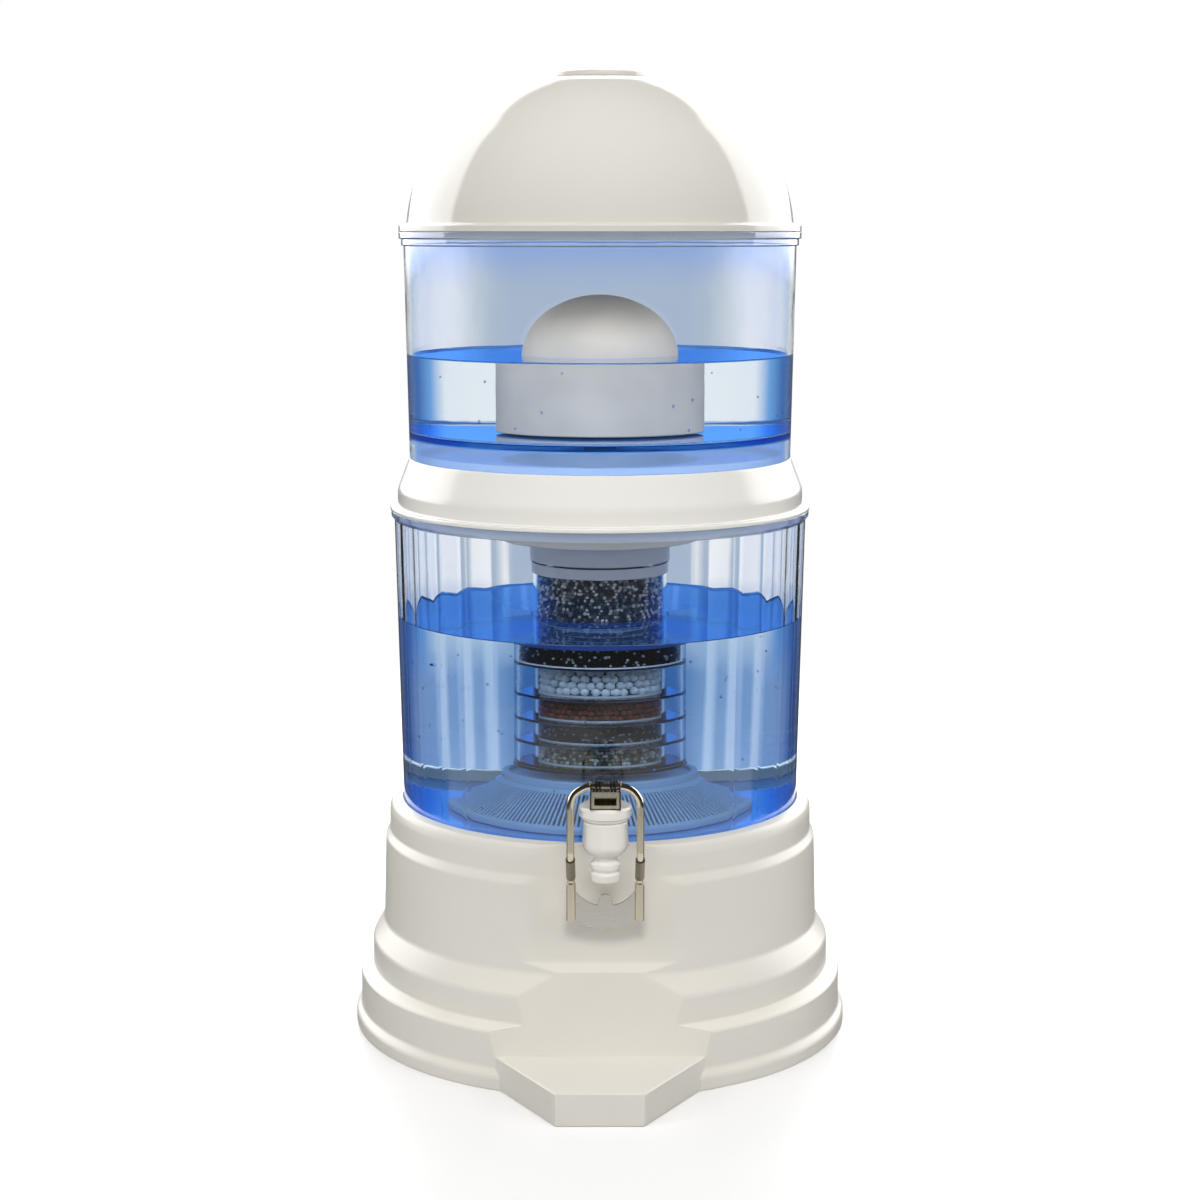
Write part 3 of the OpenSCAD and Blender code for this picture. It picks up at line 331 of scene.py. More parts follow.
def press_panels(bm, choose):
    """Presses the chosen wall onto the flat panels, 10 degrees wide, at the tank's sides."""
    width, first, last = 10, 30, 150
    for vert in bm.verts:
        turn = abs(math.degrees(math.atan2(vert.co.x, -vert.co.y)))
        if first - 0.1 < turn < last + 0.1 and choose(vert.co):
            off = (turn - first) % width - width / 2
            factor = math.cos(math.radians(width / 2)) / math.cos(math.radians(off))
            vert.co.x *= factor
            vert.co.y *= factor
    for edge in bm.edges:
        a, b = edge.verts
        turn = abs(math.degrees(math.atan2(a.co.x, -a.co.y)))
        if choose(a.co) and choose(b.co) and abs(a.co.z - b.co.z) > 2 and first - 1 < turn < last + 1 \
                and abs((turn - first + width / 2) % width - width / 2) < 0.3:
            edge.smooth = False


def moved(bm, *steps):
    for step in steps:
        bmesh.ops.transform(bm, matrix=step, verts=bm.verts[:])
    return bm


tank = turned([(0, tank_z), (123, tank_z, 1.2), (126.7, 318.2, 0.5), (128.6, 320.2, 0.6),
               (128.6, mouth_z, 0.6), (mouth_r, mouth_z, 0.5), (mouth_r, rim_z), (120.3, tank_in_z, 1.5),
               (0, tank_in_z)])
press_panels(tank, lambda co: math.hypot(co.x, co.y) < lower_wall_r(co.z) + 0.05 and 137.4 < co.z < 318.8)
upright = Matrix.Rotation(math.pi / 2, 4, "X")
tap_x = 3
tap_at = Matrix.Translation((tap_x, 0, 157.2))
boss = moved(turned([(0, 119.27), (13, 119.27, 0.5), (13, 124.37, 0.6), (0, 124.37)], 64), tap_at @ upright)
hole = moved(turned([(0, 100), (8.1, 100), (8.1, 140), (0, 140)], 64), tap_at @ upright)
tank = combined(combined(tank, boss, "UNION"), hole, "DIFFERENCE")
# The tank's floor takes the whole painted tone of piped light, and its rim part of it
paint_light_on(tank, lambda middle, normal:
       1 if middle.z < 136.3 and abs(normal.z) > 0.5 else 0.3 if middle.z > 319 else 0)
piece(tank, "lower_tank_shell", "lower_tank", ["lower_tank"], [tank_plastic], crease=9.5)

# Filtered water stands 122 mm deep in it. Its skin lies a little inside the plastic, as glass and
# liquid are drawn, and climbs the wall in a small meniscus.
water_z = 258.0
water_r = lower_wall_r(water_z)
water = turned([(0, 135.8), (120.5, 135.8), (water_r + 0.2, water_z + 1.0), (water_r - 1.6, water_z, 0.8),
                (0, water_z)])
press_panels(water, lambda co: math.hypot(co.x, co.y) > 119)
# Seen at a low angle, the level takes the blue of the walls round it: a painted reflection, as a blue tone
# on its top faces
water_painted_blue_level = clear_plastic("filtered water in blue light", "#FFFFFF", 1.333, 0.0, ("#A0CFED", 4.5),
                           "#4A8FF2", 0.12)
paint_light_on(water, lambda middle, normal: normal.z > 0.5)
piece(water, "lower_water", "lower_tank", [], [water_painted_blue_level], crease=9.5)


def bubbles(name, body, count, seed, radii, heights, sizes):
    """Small air bubbles in the water: on the wall, and some below the surface."""
    picker = random.Random(seed)
    bm = bmesh.new()
    for _ in range(count):
        z = picker.uniform(*heights)
        turn = picker.uniform(-math.pi, math.pi)
        reach = picker.uniform(*radii)
        spot = Matrix.Translation((reach * math.sin(turn), -reach * math.cos(turn), z))
        bmesh.ops.create_icosphere(bm, subdivisions=2, radius=picker.uniform(*sizes), matrix=spot)
    piece(bm, name, body, [], [bubble_air], crease=180, weighted=False)


# A bubble is air in water, so light bends the other way in it
bubble_air = clear_plastic("air bubble in water", "#FFFFFF", 0.75)
bubbles("lower_bubbles", "lower_tank", 70, 4, (100, 119.0), (150, 256), (0.5, 0.9))

# ---- Mineral case ----
# A shallow round case on the lower tank's floor, moulded from pale blue plastic, full of mineral
# stones. Its sloping side is a comb of narrow upright slots, and a dished lid closes its top.
case_z = 136.0
combs = 312
case = bmesh.new()
slope = [case.verts.new((r, 0, case_z + z)) for r, z in ((69.3, 4), (67.6, 5.5), (48.5, 21.8), (46, 24))]
for a, b in zip(slope, slope[1:]):
    case.edges.new((a, b))
spun(case, combs)
slots = []
for face in case.faces:
    middle = face.calc_center_median()
    turn = math.degrees(math.atan2(middle.y, middle.x)) % 360
    if 8 < middle.z - case_z < 19 and int(turn / (360 / combs)) % 2:
        slots.append(face)
bmesh.ops.delete(case, geom=slots, context="FACES")
bmesh.ops.recalc_face_normals(case, faces=case.faces[:])
if sum(f.normal.dot(f.calc_center_median() - Vector((0, 0, case_z))) for f in list(case.faces)[:50]) < 0:
    bmesh.ops.reverse_faces(case, faces=case.faces[:])
bmesh.ops.solidify(case, geom=case.faces[:], thickness=1.6)


def joined(*shapes):
    """Several meshes as one; their parts only touch or overlap, as pressed or welded pieces do."""
    result = shapes[0]
    for shape in shapes[1:]:
        mesh = as_mesh(shape)
        result.from_mesh(mesh)
        bpy.data.meshes.remove(mesh)
    return result


dish = turned([(0, case_z + 0.3), (69.5, case_z + 0.3, 0.8), (69.5, case_z + 4, 0.6),
               (67.4, case_z + 4, 0.5), (67.4, case_z + 2, 0.5), (0, case_z + 2)], 120)
collar = turned([(42, case_z + 22), (46, case_z + 22), (46, case_z + 24, 0.4), (42, case_z + 24)], 120)

# Translucent pale blue polypropylene, satin
case_plastic, tree = new_material("translucent polypropylene, pale blue")
principled(tree, {"Roughness": 0.35, "IOR": 1.13, "Transmission Weight": 0.35},
           {"Base Color": between(tree, "#8DBCEC", "#A5CBF2", noise(tree, 60.0))})
piece(joined(case, dish, collar), "mineral_case_comb", "lower_tank", ["mineral_case"],
      [case_plastic], crease=30, weighted=False)
lid_low, lid_high = case_z + 24, case_z + 28.5
case_lid = turned([(0, case_z + 20.5), (41.8, case_z + 20.5, 0.4), (41.8, lid_low), (45.5, lid_low, 0.3),
                   (45.5, lid_high, 1.2), (42.2, lid_high, 0.8), (41.6, case_z + 26.5, 0.8),
                   (7.6, case_z + 26.5, 0.8), (7, lid_high, 0.8), (0, lid_high)], 120)
piece(case_lid, "mineral_case_dish", "lower_tank", ["mineral_case_lid"], [case_plastic],
      crease=35)


def ramp(tree, source, points):
    """A colour ramp of (place, grey level, hex colour or level of red, green and blue)."""
    node = add(tree, "ValToRGB", {}, {0: source})
    stops = node.color_ramp.elements
    while len(stops) > 1:
        stops.remove(stops[-1])
    for i, (place, value) in enumerate(points):
        stop = stops[0] if i == 0 else stops.new(place)
        stop.position = place
        if isinstance(value, str):
            stop.color = colour(value)
        else:
            stop.color = (*value, 1) if isinstance(value, tuple) else (value, value, value, 1)
    return node


# River-washed stones in grey and brown, worn smooth
pebble, tree = new_material("tumbled mineral stone")
veins = noise(tree, 90.0, 5.0, 0.6)
shades = ramp(tree, veins, [(0.3, "#4E5450"), (0.5, "#7C8078"), (0.7, "#A39C8C")])
principled(tree, {"Roughness": 0.55}, {"Base Color": shades, "Normal": relief(tree, veins, 0.4, 0.0003)})


def finish_nodes(material, *nodes):
    """Gives CAD nodes that stay in view their material."""
    for node in nodes:
        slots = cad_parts[node].data.materials
        slots.clear()
        slots.append(material)


finish_nodes(pebble, "mineral_stones")

# ---- Tap ----
# Body and bonnet are white moulded plastic. The shank passes through the tank's boss and is held by a
# nut inside, with a rubber washer on each side of the wall. A sprung valve inside closes the outlet.


def arc(centre, radius, start, stop, step, high=None):
    """Points of an arc, or of an ellipse of another height, about a centre; angles in degrees."""
    high = radius if high is None else high
    angles = [math.radians(a) for a in range(start, stop, step)]
    return [(centre[0] + radius * math.cos(a), centre[1] + high * math.sin(a)) for a in angles]


tap_y, shoulder_z = -160.0, 172.2
tap_spot = Matrix.Translation((tap_x, tap_y, 0))
bulb = arc((0, 153.2), 13, -56, 1, 7, 9)
tap = turned([(5, 131.2, 0.3), (7.8, 131.2, 0.5), (8.6, 135.8, 0.6), (7.3, 136.6, 0.4), (7.3, 137.4, 0.4),
              (8.6, 138.8, 0.9), (8.6, 141.8, 0.9), (6.8, 143.0, 0.6), (6.5, 145.4, 0.9)] + bulb +
             [(12.6, 165.8, 0.9), (11.8, 166.2), (11.8, shoulder_z), (8.5, shoulder_z), (8.5, 151.2),
              (5, 151.2)], 96)
shank = turned([(4.5, 105.3), (8, 105.3, 0.6), (8, 126.37), (11.5, 126.37, 0.3), (11.5, 128.87, 0.8),
                (7, 128.87, 1.6), (7, 150.6), (4.5, 150.6)], 72)
tap = combined(moved(tap, tap_spot), moved(shank, tap_at @ upright), "UNION")
tap_white = moulded("moulded ABS, glossy white", "#ECE9E2", "#F0EDE6", 0.22, 0.03)
piece(tap, "tap_casting", "lower_tank", ["tap_body"], [tap_white], crease=34)
bonnet = turned([(2.56, shoulder_z), (11.85, shoulder_z), (11.85, 166.8, 0.3), (13.2, 166.8, 0.5),
                 (13.7, 168.6, 0.5), (14.9, 169.0, 0.6), (14.9, 174.0, 0.9), (13.9, 175, 0.6),
                 (2.56, 175, 0.2)], 96)
piece(moved(bonnet, tap_spot), "tap_bonnet_cap", "lower_tank", ["tap_bonnet"], [tap_white],
      crease=34)
finish_nodes(tap_white, "tap_nut")

# Black EPDM rubber washers, matt with a fine mould grain
rubber, tree = new_material("moulded EPDM rubber")
grain = noise(tree, 900.0)
principled(tree, {"Roughness": 0.6, "IOR": 1.5}, {
    "Base Color": between(tree, "#2E3033", "#3C3F43", grain), "Normal": relief(tree, grain, 0.2, 0.0001)})
finish_nodes(rubber, "tap_outer_washer", "tap_inner_washer")

# ---- Lever ----
# A loop of nickel-plated steel wire swings in a folded sheet bracket on the bonnet. A coil spring holds
# it forward, its finger lifts the valve, and a pressed push plate joins its two lower legs.


# Bright nickel plating over steel, slightly yellow; the drawn wire and pressed sheet keep fine
# lengthwise lines that stretch the highlights.
def plated(name, dark, light, roughness, lines):
    material, tree = new_material(name)
    place = add(tree, "TexCoord").outputs["Object"]
    stretch = add(tree, "Mapping", {"Scale": lines}, {"Vector": place})
    streaks = add(tree, "TexNoise", {"Scale": 1.0, "Detail": 3.0}, {"Vector": stretch})
    principled(tree, {"Metallic": 1.0}, {
        "Base Color": between(tree, dark, light, streaks),
        "Roughness": spread(tree, streaks, roughness - 0.05, roughness + 0.08),
        "Normal": relief(tree, streaks, 0.1, 0.00005)})
    return material


wire_nickel = plated("nickel-plated steel wire", "#BFB49C", "#E0D8C6", 0.16, (900, 900, 60))
sleeve_nickel = plated("dull nickel-plated tube", "#7C7360", "#989080", 0.34, (900, 900, 60))
plate_nickel = plated("nickel-plated steel sheet, satin", "#CFCAC0", "#E0DCD3", 0.24, (60, 900, 900))


def bent_wire(points, radius, rounding, sides=4):
    """A round wire with closed ends along a line of points, its corners bent round."""
    line = bmesh.new()
    verts = [line.verts.new(p) for p in points]
    for a, b in zip(verts, verts[1:]):
        line.edges.new((a, b))
    first = verts[0]
    for vert in verts[1:-1]:
        bevelled(line, [vert], rounding, 8, "VERTICES")
    path, edge, vert = [first.co.copy()], first.link_edges[0], first
    while edge:
        vert = edge.other_vert(vert)
        path.append(vert.co.copy())
        edge = next((e for e in vert.link_edges if e is not edge), None)
    line.free()
    curve = bpy.data.curves.new("wire", "CURVE")
    curve.dimensions, curve.use_fill_caps = "3D", True
    curve.bevel_depth, curve.bevel_resolution = radius, sides
    spline = curve.splines.new("POLY")
    spline.points.add(len(path) - 1)
    for point, co in zip(spline.points, path):
        point.co = (*co, 1)
    obj = in_scene("wire", curve)
    bm = drawn_out(obj)
    bpy.data.objects.remove(obj)
    bmesh.ops.remove_doubles(bm, verts=bm.verts[:], dist=0.0005)
    bmesh.ops.recalc_face_normals(bm, faces=bm.faces[:])
    return bm


# The wire swings on the pivot, drops in front of the tap, and slants back to the plate
pivot_y, pivot_z, leg_x, slant_z, plate_y = -168, 187.4, 19.6, 146.4, -144
half = [(9.3, pivot_y, pivot_z), (13.7, pivot_y, 185.9), (17.9, pivot_y, 182.4), (leg_x, pivot_y, 177.4),
        (leg_x, pivot_y, slant_z), (leg_x, plate_y, 127.4), (leg_x, plate_y, 105.1)]
loop = bent_wire([(-x, y, z) for x, y, z in reversed(half)] + half, 2.2, 3.2)
finger = prism([(-0.7, -169), (0.7, -169), (0.7, -158.6), (-0.7, -158.6)], 0, 2.4, 0.3)
for vert in finger.verts:
    vert.co.z += 186.2 - 2.7 * min(max((vert.co.y - pivot_y) / 4.5, 0), 1)
to_tap = Matrix.Translation((tap_x, 0, 0))
piece(moved(joined(loop, finger), to_tap), "lever_wire", "lever", ["lever_frame"],
      [wire_nickel], crease=50)

# A tube on each slanting stretch
slope = math.atan2(24, 19)
sleeves = []
for x in (-leg_x, leg_x):
    tube = turned([(2.25, 2), (2.7, 2, 0.15), (2.7, 28, 0.15), (2.25, 28)], 32)
    sleeves.append(moved(tube, Matrix.Rotation(math.pi + slope, 4, "X"),
                         Matrix.Translation((x + tap_x, pivot_y, slant_z))))
piece(joined(*sleeves), "lever_sleeve_pair", "lever", ["lever_sleeves"], [sleeve_nickel],
      crease=40)

def sheet_of(plan, *steps):
    """A flat of 1.2 mm sheet, cut to a plan and moved into place."""
    half, rounding = 0.6, 0.25
    return moved(prism(plan, -half, half, rounding), *steps)


# The push plate's foot is an arc, its top is an arc with a notch in the middle, and its sides are
# rolled round the wire's legs. Its face is bare.
low, plate_half = 97.9, 17.3
foot_x = [-plate_half + 2 * plate_half * i / 16 for i in range(17)]
head_x = (16.6, 15.6, 14, 12, 10, 8, 6, 4.7)
head = [(x, low + 33.8 - math.sqrt(20.3 ** 2 - x * x)) for x in head_x]
notch = [(4.1, low + 14.6)] + arc((0, low + 16.6), 4.1, 0, 181, 20) + [(-4.1, low + 14.6)]
plate_outline = [(x, low + 34 - math.sqrt(34 ** 2 - x * x)) for x in foot_x]
plate_outline += [(plate_half, low + 22.5), (16.9, low + 22.5)] + head + notch
plate_outline += [(-x, y) for x, y in reversed(head)] + [(-16.9, low + 22.5), (-plate_half, low + 22.5)]
plate = sheet_of(plate_outline, upright, Matrix.Translation((0, plate_y, 0)))
rolls = []
for x in (-leg_x, leg_x):
    tube = turned([(2.25, 102.9), (2.8, 102.9, 0.25), (2.8, 124.9, 0.25), (2.25, 124.9)], 40)
    for face in tube.faces:
        face.material_index = 1
    rolls.append(moved(tube, Matrix.Translation((x, plate_y, 0))))
piece(moved(joined(plate, *rolls), to_tap), "push_plate", "lever", ["lever_plate"],
      [plate_nickel, wire_nickel], crease=40)

# The bracket is folded from 1.2 mm sheet: a base on the bonnet, a front with a window, a back and two ears
seat_z, back_y, fore_y, half_w = 175, -164.5, -173.5, 8.7
base = prism([(-half_w, fore_y), (half_w, fore_y), (half_w, back_y), (-half_w, back_y)], seat_z, 176.2, 0.3)
front = sheet_of([(-half_w, 0), (half_w, 0), (half_w, 10.6), (-half_w, 10.6)])
window = prism([(-6.2, 2.7), (6.2, 2.7), (6.2, 8.0), (-6.2, 8.0)], -2, 2)
front = moved(combined(front, window, "DIFFERENCE"), upright, Matrix.Translation((0, -172.9, seat_z)))
back = sheet_of([(-half_w, 0), (half_w, 0), (half_w, 8), (-half_w, 8)], upright,
                Matrix.Translation((0, -165.1, seat_z)))
ear_top = arc((pivot_y, 12.4), 3.5, 0, 181, 18)
ear_plan = [(fore_y, 0), (back_y, 0), (back_y, 12.4)] + ear_top + [(fore_y, 10.6)]
turn_x = Matrix(((0, 0, 1, 0), (1, 0, 0, 0), (0, 1, 0, 0), (0, 0, 0, 1)))
ears = [sheet_of(ear_plan, turn_x, Matrix.Translation((x, 0, seat_z))) for x in (-8.1, 8.1)]
bracket = moved(joined(base, front, back, *ears), to_tap)
piece(bracket, "folded_bracket", "lower_tank", ["lever_bracket"], [wire_nickel], crease=32)

# Spring steel and stainless steel, drawn and bright
finish_nodes(plated("drawn spring steel", "#5E584C", "#8C8576", 0.22, (700, 700, 700)), "lever_spring")
stem_steel = plated("turned stainless steel", "#A6A49E", "#C6C4BE", 0.2, (80, 80, 1500))
finish_nodes(stem_steel, "valve_spring", "valve_stem")

# Translucent silicone seals, soft and slightly greasy
silicone, tree = new_material("moulded silicone, translucent")
principled(tree, {"Roughness": 0.45, "IOR": 1.41, "Subsurface Weight": 0.2, "Subsurface Scale": 0.002},
           {"Base Color": between(tree, "#BCC8D2", "#CBD5DD", noise(tree, 500.0))})
finish_nodes(silicone, "valve_seal", "ceramic_seal", "stem_washer", "cap_seal")

# ---- Middle lid ----
# A white moulded shoulder that covers the lower tank. The upper tank stands on its top in a locating
# ring, and the cartridge hangs through the round well in its middle.
lid_white = moulded("moulded polypropylene, glossy", "#E5E3DD", "#E9E7E1", 0.2, 0.02)
seat, well_low, well_high, skirt_z = 355.2, 305, 307.6, 318.8
shoulder = turned([
    (45, well_low), (62.6, well_low, 1.5), (62.6, 352.6, 1.5), (114.3, 352.6, 1), (122.1, 335.2, 1),
    (122.1, skirt_z, 0.5), (123.2, skirt_z, 0.4), (123.2, mouth_z), (129.1, mouth_z, 0.5),
    (129.1, 326.4, 1.1), (124.7, 326.4, 1.0), (124.4, 336.5, 2.2), (117.6, 354.3, 0.9),
    (116.9, seat, 0.3), (113.5, seat), (113.5, 359.2, 0.6), (110.9, 359.2, 0.6), (110.9, seat),
    (60, seat, 1.5), (60, well_high, 1), (45, well_high, 0.6)])
piece(shoulder, "shoulder_lid", "middle_lid", ["middle_lid"], [lid_white], crease=38)

# ---- Upper tank ----
# The raw-water tank, moulded like the lower one but smooth and round. Its floor stands above a
# skirt, and a ribbed rim runs round its mouth.
floor_z, floor_in_z, rib_z, lid_z = 368.5, 371.5, 483.5, 491.7
upper = turned([
    (6.4, floor_z), (114, floor_z, 1.2), (114, seat, 0.4), (116.9, seat, 0.5), (119.1, rib_z, 0.3),
    (120.55, rib_z, 0.5), (120.55, 487.6, 0.4), (122, 487.6, 0.6), (122, lid_z, 0.7), (116.2, lid_z, 0.6),
    (114.3, floor_in_z, 1.8), (6.4, floor_in_z)])
# The floor takes the whole painted tone of piped light, the skirt most of it, and the ribbed rim part of it
paint_light_on(upper, lambda middle, normal:
       0.3 if middle.z > 484 else 0 if middle.z > 371.8 else 1 if middle.z > 368 else 0.7)
piece(upper, "upper_tank_shell", "upper_tank", ["upper_tank"], [tank_plastic], crease=30)

# Raw water about 46 mm deep
raw_z = 417.7
wall_r = 114.3 + 1.9 * (raw_z - floor_in_z) / 120.2
raw = turned([(0, 371.3), (114.5, 371.3), (wall_r + 0.2, raw_z + 1.0), (wall_r - 1.6, raw_z, 0.8),
              (0, raw_z)])
# Its level, too, takes a painted reflection of the blue walls round it
clear_water = clear_plastic("raw water", "#FFFFFF", 1.333, 0.0, ("#38D0FA", 0.4), "#7FB2F8", 0.06)
paint_light_on(raw, lambda middle, normal: normal.z > 0.5)
piece(raw, "upper_water", "upper_tank", [], [clear_water], crease=40)
bubbles("upper_bubbles", "upper_tank", 34, 11, (92, 113.2), (375, 416.5), (0.6, 1.1))

# ---- Ceramic filter ----
# A hollow dome of fired ceramic, cast and left unglazed. A plastic base is glued into it, and its
# threaded stem is drawn down on a silicone seal by a winged nut.
crown = arc((0, 416), 48, 0, 90, 5, 38)
ceramic = turned([(0, 372.5), (48, 372.5, 1.0)] + crown + [(0, 454)], 128)

# Unglazed porous ceramic: matt, fine-grained, warm grey-white with faint damp blotches
bisque, tree = new_material("unglazed porous ceramic")
tint = ramp(tree, noise(tree, 28.0, 4.0), [(0.3, "#D0C9C0"), (0.55, "#DBD4CA"), (0.75, "#E3DBCF")])
principled(tree, {"Roughness": 0.8, "IOR": 1.5},
           {"Base Color": tint, "Normal": relief(tree, noise(tree, 1100.0), 0.25, 0.0002)})
piece(ceramic, "ceramic_shell", "upper_tank", ["ceramic_dome"], [bisque], crease=40)
filter_white = moulded("moulded polypropylene, satin white", "#E2E0DA", "#E8E6E1", 0.38, 0.05)
finish_nodes(filter_white, "ceramic_base", "stem_nut")

# ---- Cartridge ----
# The media cartridge screws onto the ceramic filter's stem. A grey cap and ring hold a clear canister
# of carbon, and a dark blue ring joins it to five stacked clear trays, each with its own bed.
grey_abs = moulded("moulded ABS, satin grey", "#AFB4BF", "#BCC1CB", 0.35, 0.05)
navy = moulded("moulded ABS, dark blue", "#1E3D86", "#27489A", 0.3, 0.04)
cap_r, cap_z, canister_r, canister_z = 43.6, 312, 41.5, 250
cap = turned([(6.1, cap_z), (cap_r, cap_z, 1.6), (cap_r, 291.7, 0.6), (41.6, 291.7), (41.6, 309, 0.6),
              (10, 309), (10, 297, 0.6), (3, 297), (3, 299), (6.1, 299)], 120)
piece(cap, "screw_cap", "upper_tank", ["cartridge_cap"], [grey_abs])
ring = turned([(41.56, 284), (42.6, 284, 0.3), (42.6, 290.5, 0.3), (41.56, 290.5)], 120)
piece(ring, "canister_ring", "upper_tank", ["cartridge_ring"], [grey_abs])

canister_plastic = clear_plastic("clear AS plastic", "#F4F8FD", 1.57, 0.1, ("#8CC8F4", 25.0))
# Under water the same plastic bends light less, by the ratio of the two indices
wet_plastic = clear_plastic("clear AS plastic under water", "#F4F8FD", 1.178, 0.1, ("#8CC8F4", 16.0))
canister = turned([(0, canister_z), (canister_r, canister_z, 0.5), (canister_r, 307, 0.4), (39.5, 307, 0.4),
                   (39.5, 252, 0.5), (0, 252)], 120)
piece(canister, "canister_shell", "upper_tank", ["carbon_canister"], [canister_plastic])
coupling = turned([(34, 245, 0.3), (43.2, 245, 0.6), (43.2, 254, 0.6), (41.6, 254), (41.6, canister_z),
                   (34, canister_z, 0.3)], 120)
piece(coupling, "navy_coupling", "upper_tank", ["joining_ring"], [navy])


def bed(name, node, radius, z0, z1, size, seed, round_grain, material):
    """A bed of seeded grains: its outer layer, round a core that shows between them as dark gaps. The core
    takes the material's lowest colour, which for balls is a painted shade.
    """
    picker = random.Random(seed)
    core_r, core_z = radius - 0.75 * size, z1 - 0.6 * size
    grown = turned([(0, z0), (core_r, z0), (core_r, core_z), (0, core_z)], 72)
    layer = grown.verts.layers.float.new("tint")
    for vert in grown.verts:
        vert[layer] = -1
    rows = max(int((z1 - z0) / (0.86 * size)), 1)
    step = (z1 - z0 - size) / max(rows - 1, 1)
    count = int(2 * math.pi * (radius - size / 2) / (size * (1.0 if round_grain else 0.92)))
    for row in range(rows):
        band = bmesh.new()
        tint = band.verts.layers.float.new("tint")
        for i in range(count):
            turn = 2 * math.pi * (i + 0.5 * (row % 2) + picker.uniform(-0.16, 0.16)) / count
            out = radius - size / 2 - picker.uniform(0, 0.12) * size
            z = z0 + size / 2 + row * step + picker.uniform(-0.1, 0.1) * size
            spot = Matrix.Translation((out * math.cos(turn), out * math.sin(turn), z))
            if round_grain:
                made = bmesh.ops.create_uvsphere(band, u_segments=8, v_segments=6, radius=size / 2,
                                                 matrix=spot)
            else:
                swing = picker.uniform(0, 6.28)
                axis = (picker.random(), picker.random(), picker.random() + 0.1)
                tumble = Matrix.Rotation(swing, 4, axis)
                lengths = (picker.uniform(0.7, 1.0), picker.uniform(0.5, 0.9), picker.uniform(0.6, 1.0), 1)
                made = bmesh.ops.create_icosphere(band, subdivisions=1, radius=size * 0.62,
                                                  matrix=spot @ tumble @ Matrix.Diagonal(lengths))
            shade = picker.random()
            for vert in made["verts"]:
                vert[tint] = shade
                reach = math.hypot(vert.co.x, vert.co.y)
                if reach > radius:
                    vert.co.x *= radius / reach
                    vert.co.y *= radius / reach
                vert.co.z = min(max(vert.co.z, z0), z1)
        grown = joined(grown, band)
    crease = 180 if round_grain else 12
    piece(grown, name, "upper_tank", [node], [material], crease=crease, weighted=False)


def maths(tree, how, *terms):
    """A Math node; numbers are set on it, and all else is linked to it."""
    values = {i: term for i, term in enumerate(terms) if isinstance(term, float)}
    links = {i: term for i, term in enumerate(terms) if i not in values}
    return add(tree, "Math", values, links, operation=how)


# Wet grains hardly shine under water, so only the carbon in its dry canister has bright glints
def media(name, points, roughness, spec=0.06):
    """Loose filter grains, each of its own shade."""
    material, tree = new_material(name)
    own = add(tree, "Attribute", attribute_name="tint").outputs["Fac"]
    fine = noise(tree, 700.0)
    index = maths(tree, "ADD", own, maths(tree, "MULTIPLY", fine, 0.3))
    principled(tree, {"Roughness": roughness, "Specular IOR Level": spec},
               {"Base Color": ramp(tree, index, points), "Normal": relief(tree, fine, 0.3, 0.0001)})
    return material


# Crushed coconut-shell carbon: black, with bright broken faces; its grey to near-white grains are painted
# glints
carbon = media("granular activated carbon", [
    (0.0, "#0B0C0D"), (0.4, "#2A2D30"), (0.7, "#6E7478"), (0.9, "#B8BEC2"), (1.05, "#F0F3F5")], 0.28, 0.9)
bed("carbon_granules", "carbon_bed", 39.3, 252, 284, 2.3, 21, False, carbon)

# The trays from the top down: only the first has no inner wall
trays = [(232, 245), (213, 232), (198, 213), (184, 198), (170, 184)]
for i, (z0, z1) in enumerate(trays):
    floor = z0 + 1.2
    shell = turned([(0, z0), (40, z0, 0.4), (40, z1, 0.3), (38, z1, 0.3), (38, floor, 0.3), (0, floor)], 120)
    if i:
        shell = joined(shell, turned([(29, z0 + 0.6), (31, z0 + 0.6), (31, z1, 0.3), (29, z1, 0.3)], 120))
    piece(shell, f"tray_{i + 1}_shell", "upper_tank", [f"tray_{i + 1}"], [wet_plastic])

# Crushed black mineral; its few light grey grains, past the top of the ramp, are painted glints
black_grit = media("crushed black mineral", [
    (0.0, "#050505"), (0.85, "#12100F"), (1.0, "#2A2623"), (1.12, "#A0A4A6")], 0.35)
# The balls' ramps start with a darker colour that only the core reaches: painted shade in the gaps between
# balls
white_balls = media("glazed white ceramic balls", [
    (0.0, "#7C8894"), (0.06, "#7C8894"), (0.08, "#F0F4F8"), (1.0, "#FBFCFD")], 0.3)
red_balls = media("fired red clay balls", [
    (0.0, "#2A100A"), (0.06, "#2A100A"), (0.08, "#6A2C1A"), (0.5, "#8A3D26"), (1.0, "#B3573A")], 0.55)
grey_sand = media("crushed grey zeolite", [
    (0.0, "#08090B"), (0.7, "#131518"), (1.0, "#2E3238"), (1.15, "#9AA0A8")], 0.5)
mixed_sand = media("mixed mineral sand", [
    (0.0, "#1A1B16"), (0.3, "#4F4B3C"), (0.6, "#8E8872"), (0.85, "#C6C0A8"), (1.1, "#F2EFE2")], 0.5)
media_r = 28.8
bed("black_granules", "bed_1", 37.8, 234, 244.8, 1.9, 22, False, black_grit)
bed("white_ball_bed", "bed_2", media_r, 215, 231.8, 4.8, 23, True, white_balls)
bed("red_ball_bed", "bed_3", media_r, 200, 212.8, 3.0, 24, True, red_balls)
bed("grey_grain_bed", "bed_4", media_r, 186, 197.8, 1.7, 25, False, grey_sand)
bed("mineral_grain_bed", "bed_5", media_r, 172, 183.8, 2.6, 26, False, mixed_sand)
outlet = turned([(0, 168), (40.6, 168, 0.4), (40.6, 170, 0.4), (0, 170)], 120)
piece(outlet, "outlet_disc", "upper_tank", ["cartridge_outlet"], [wet_plastic])

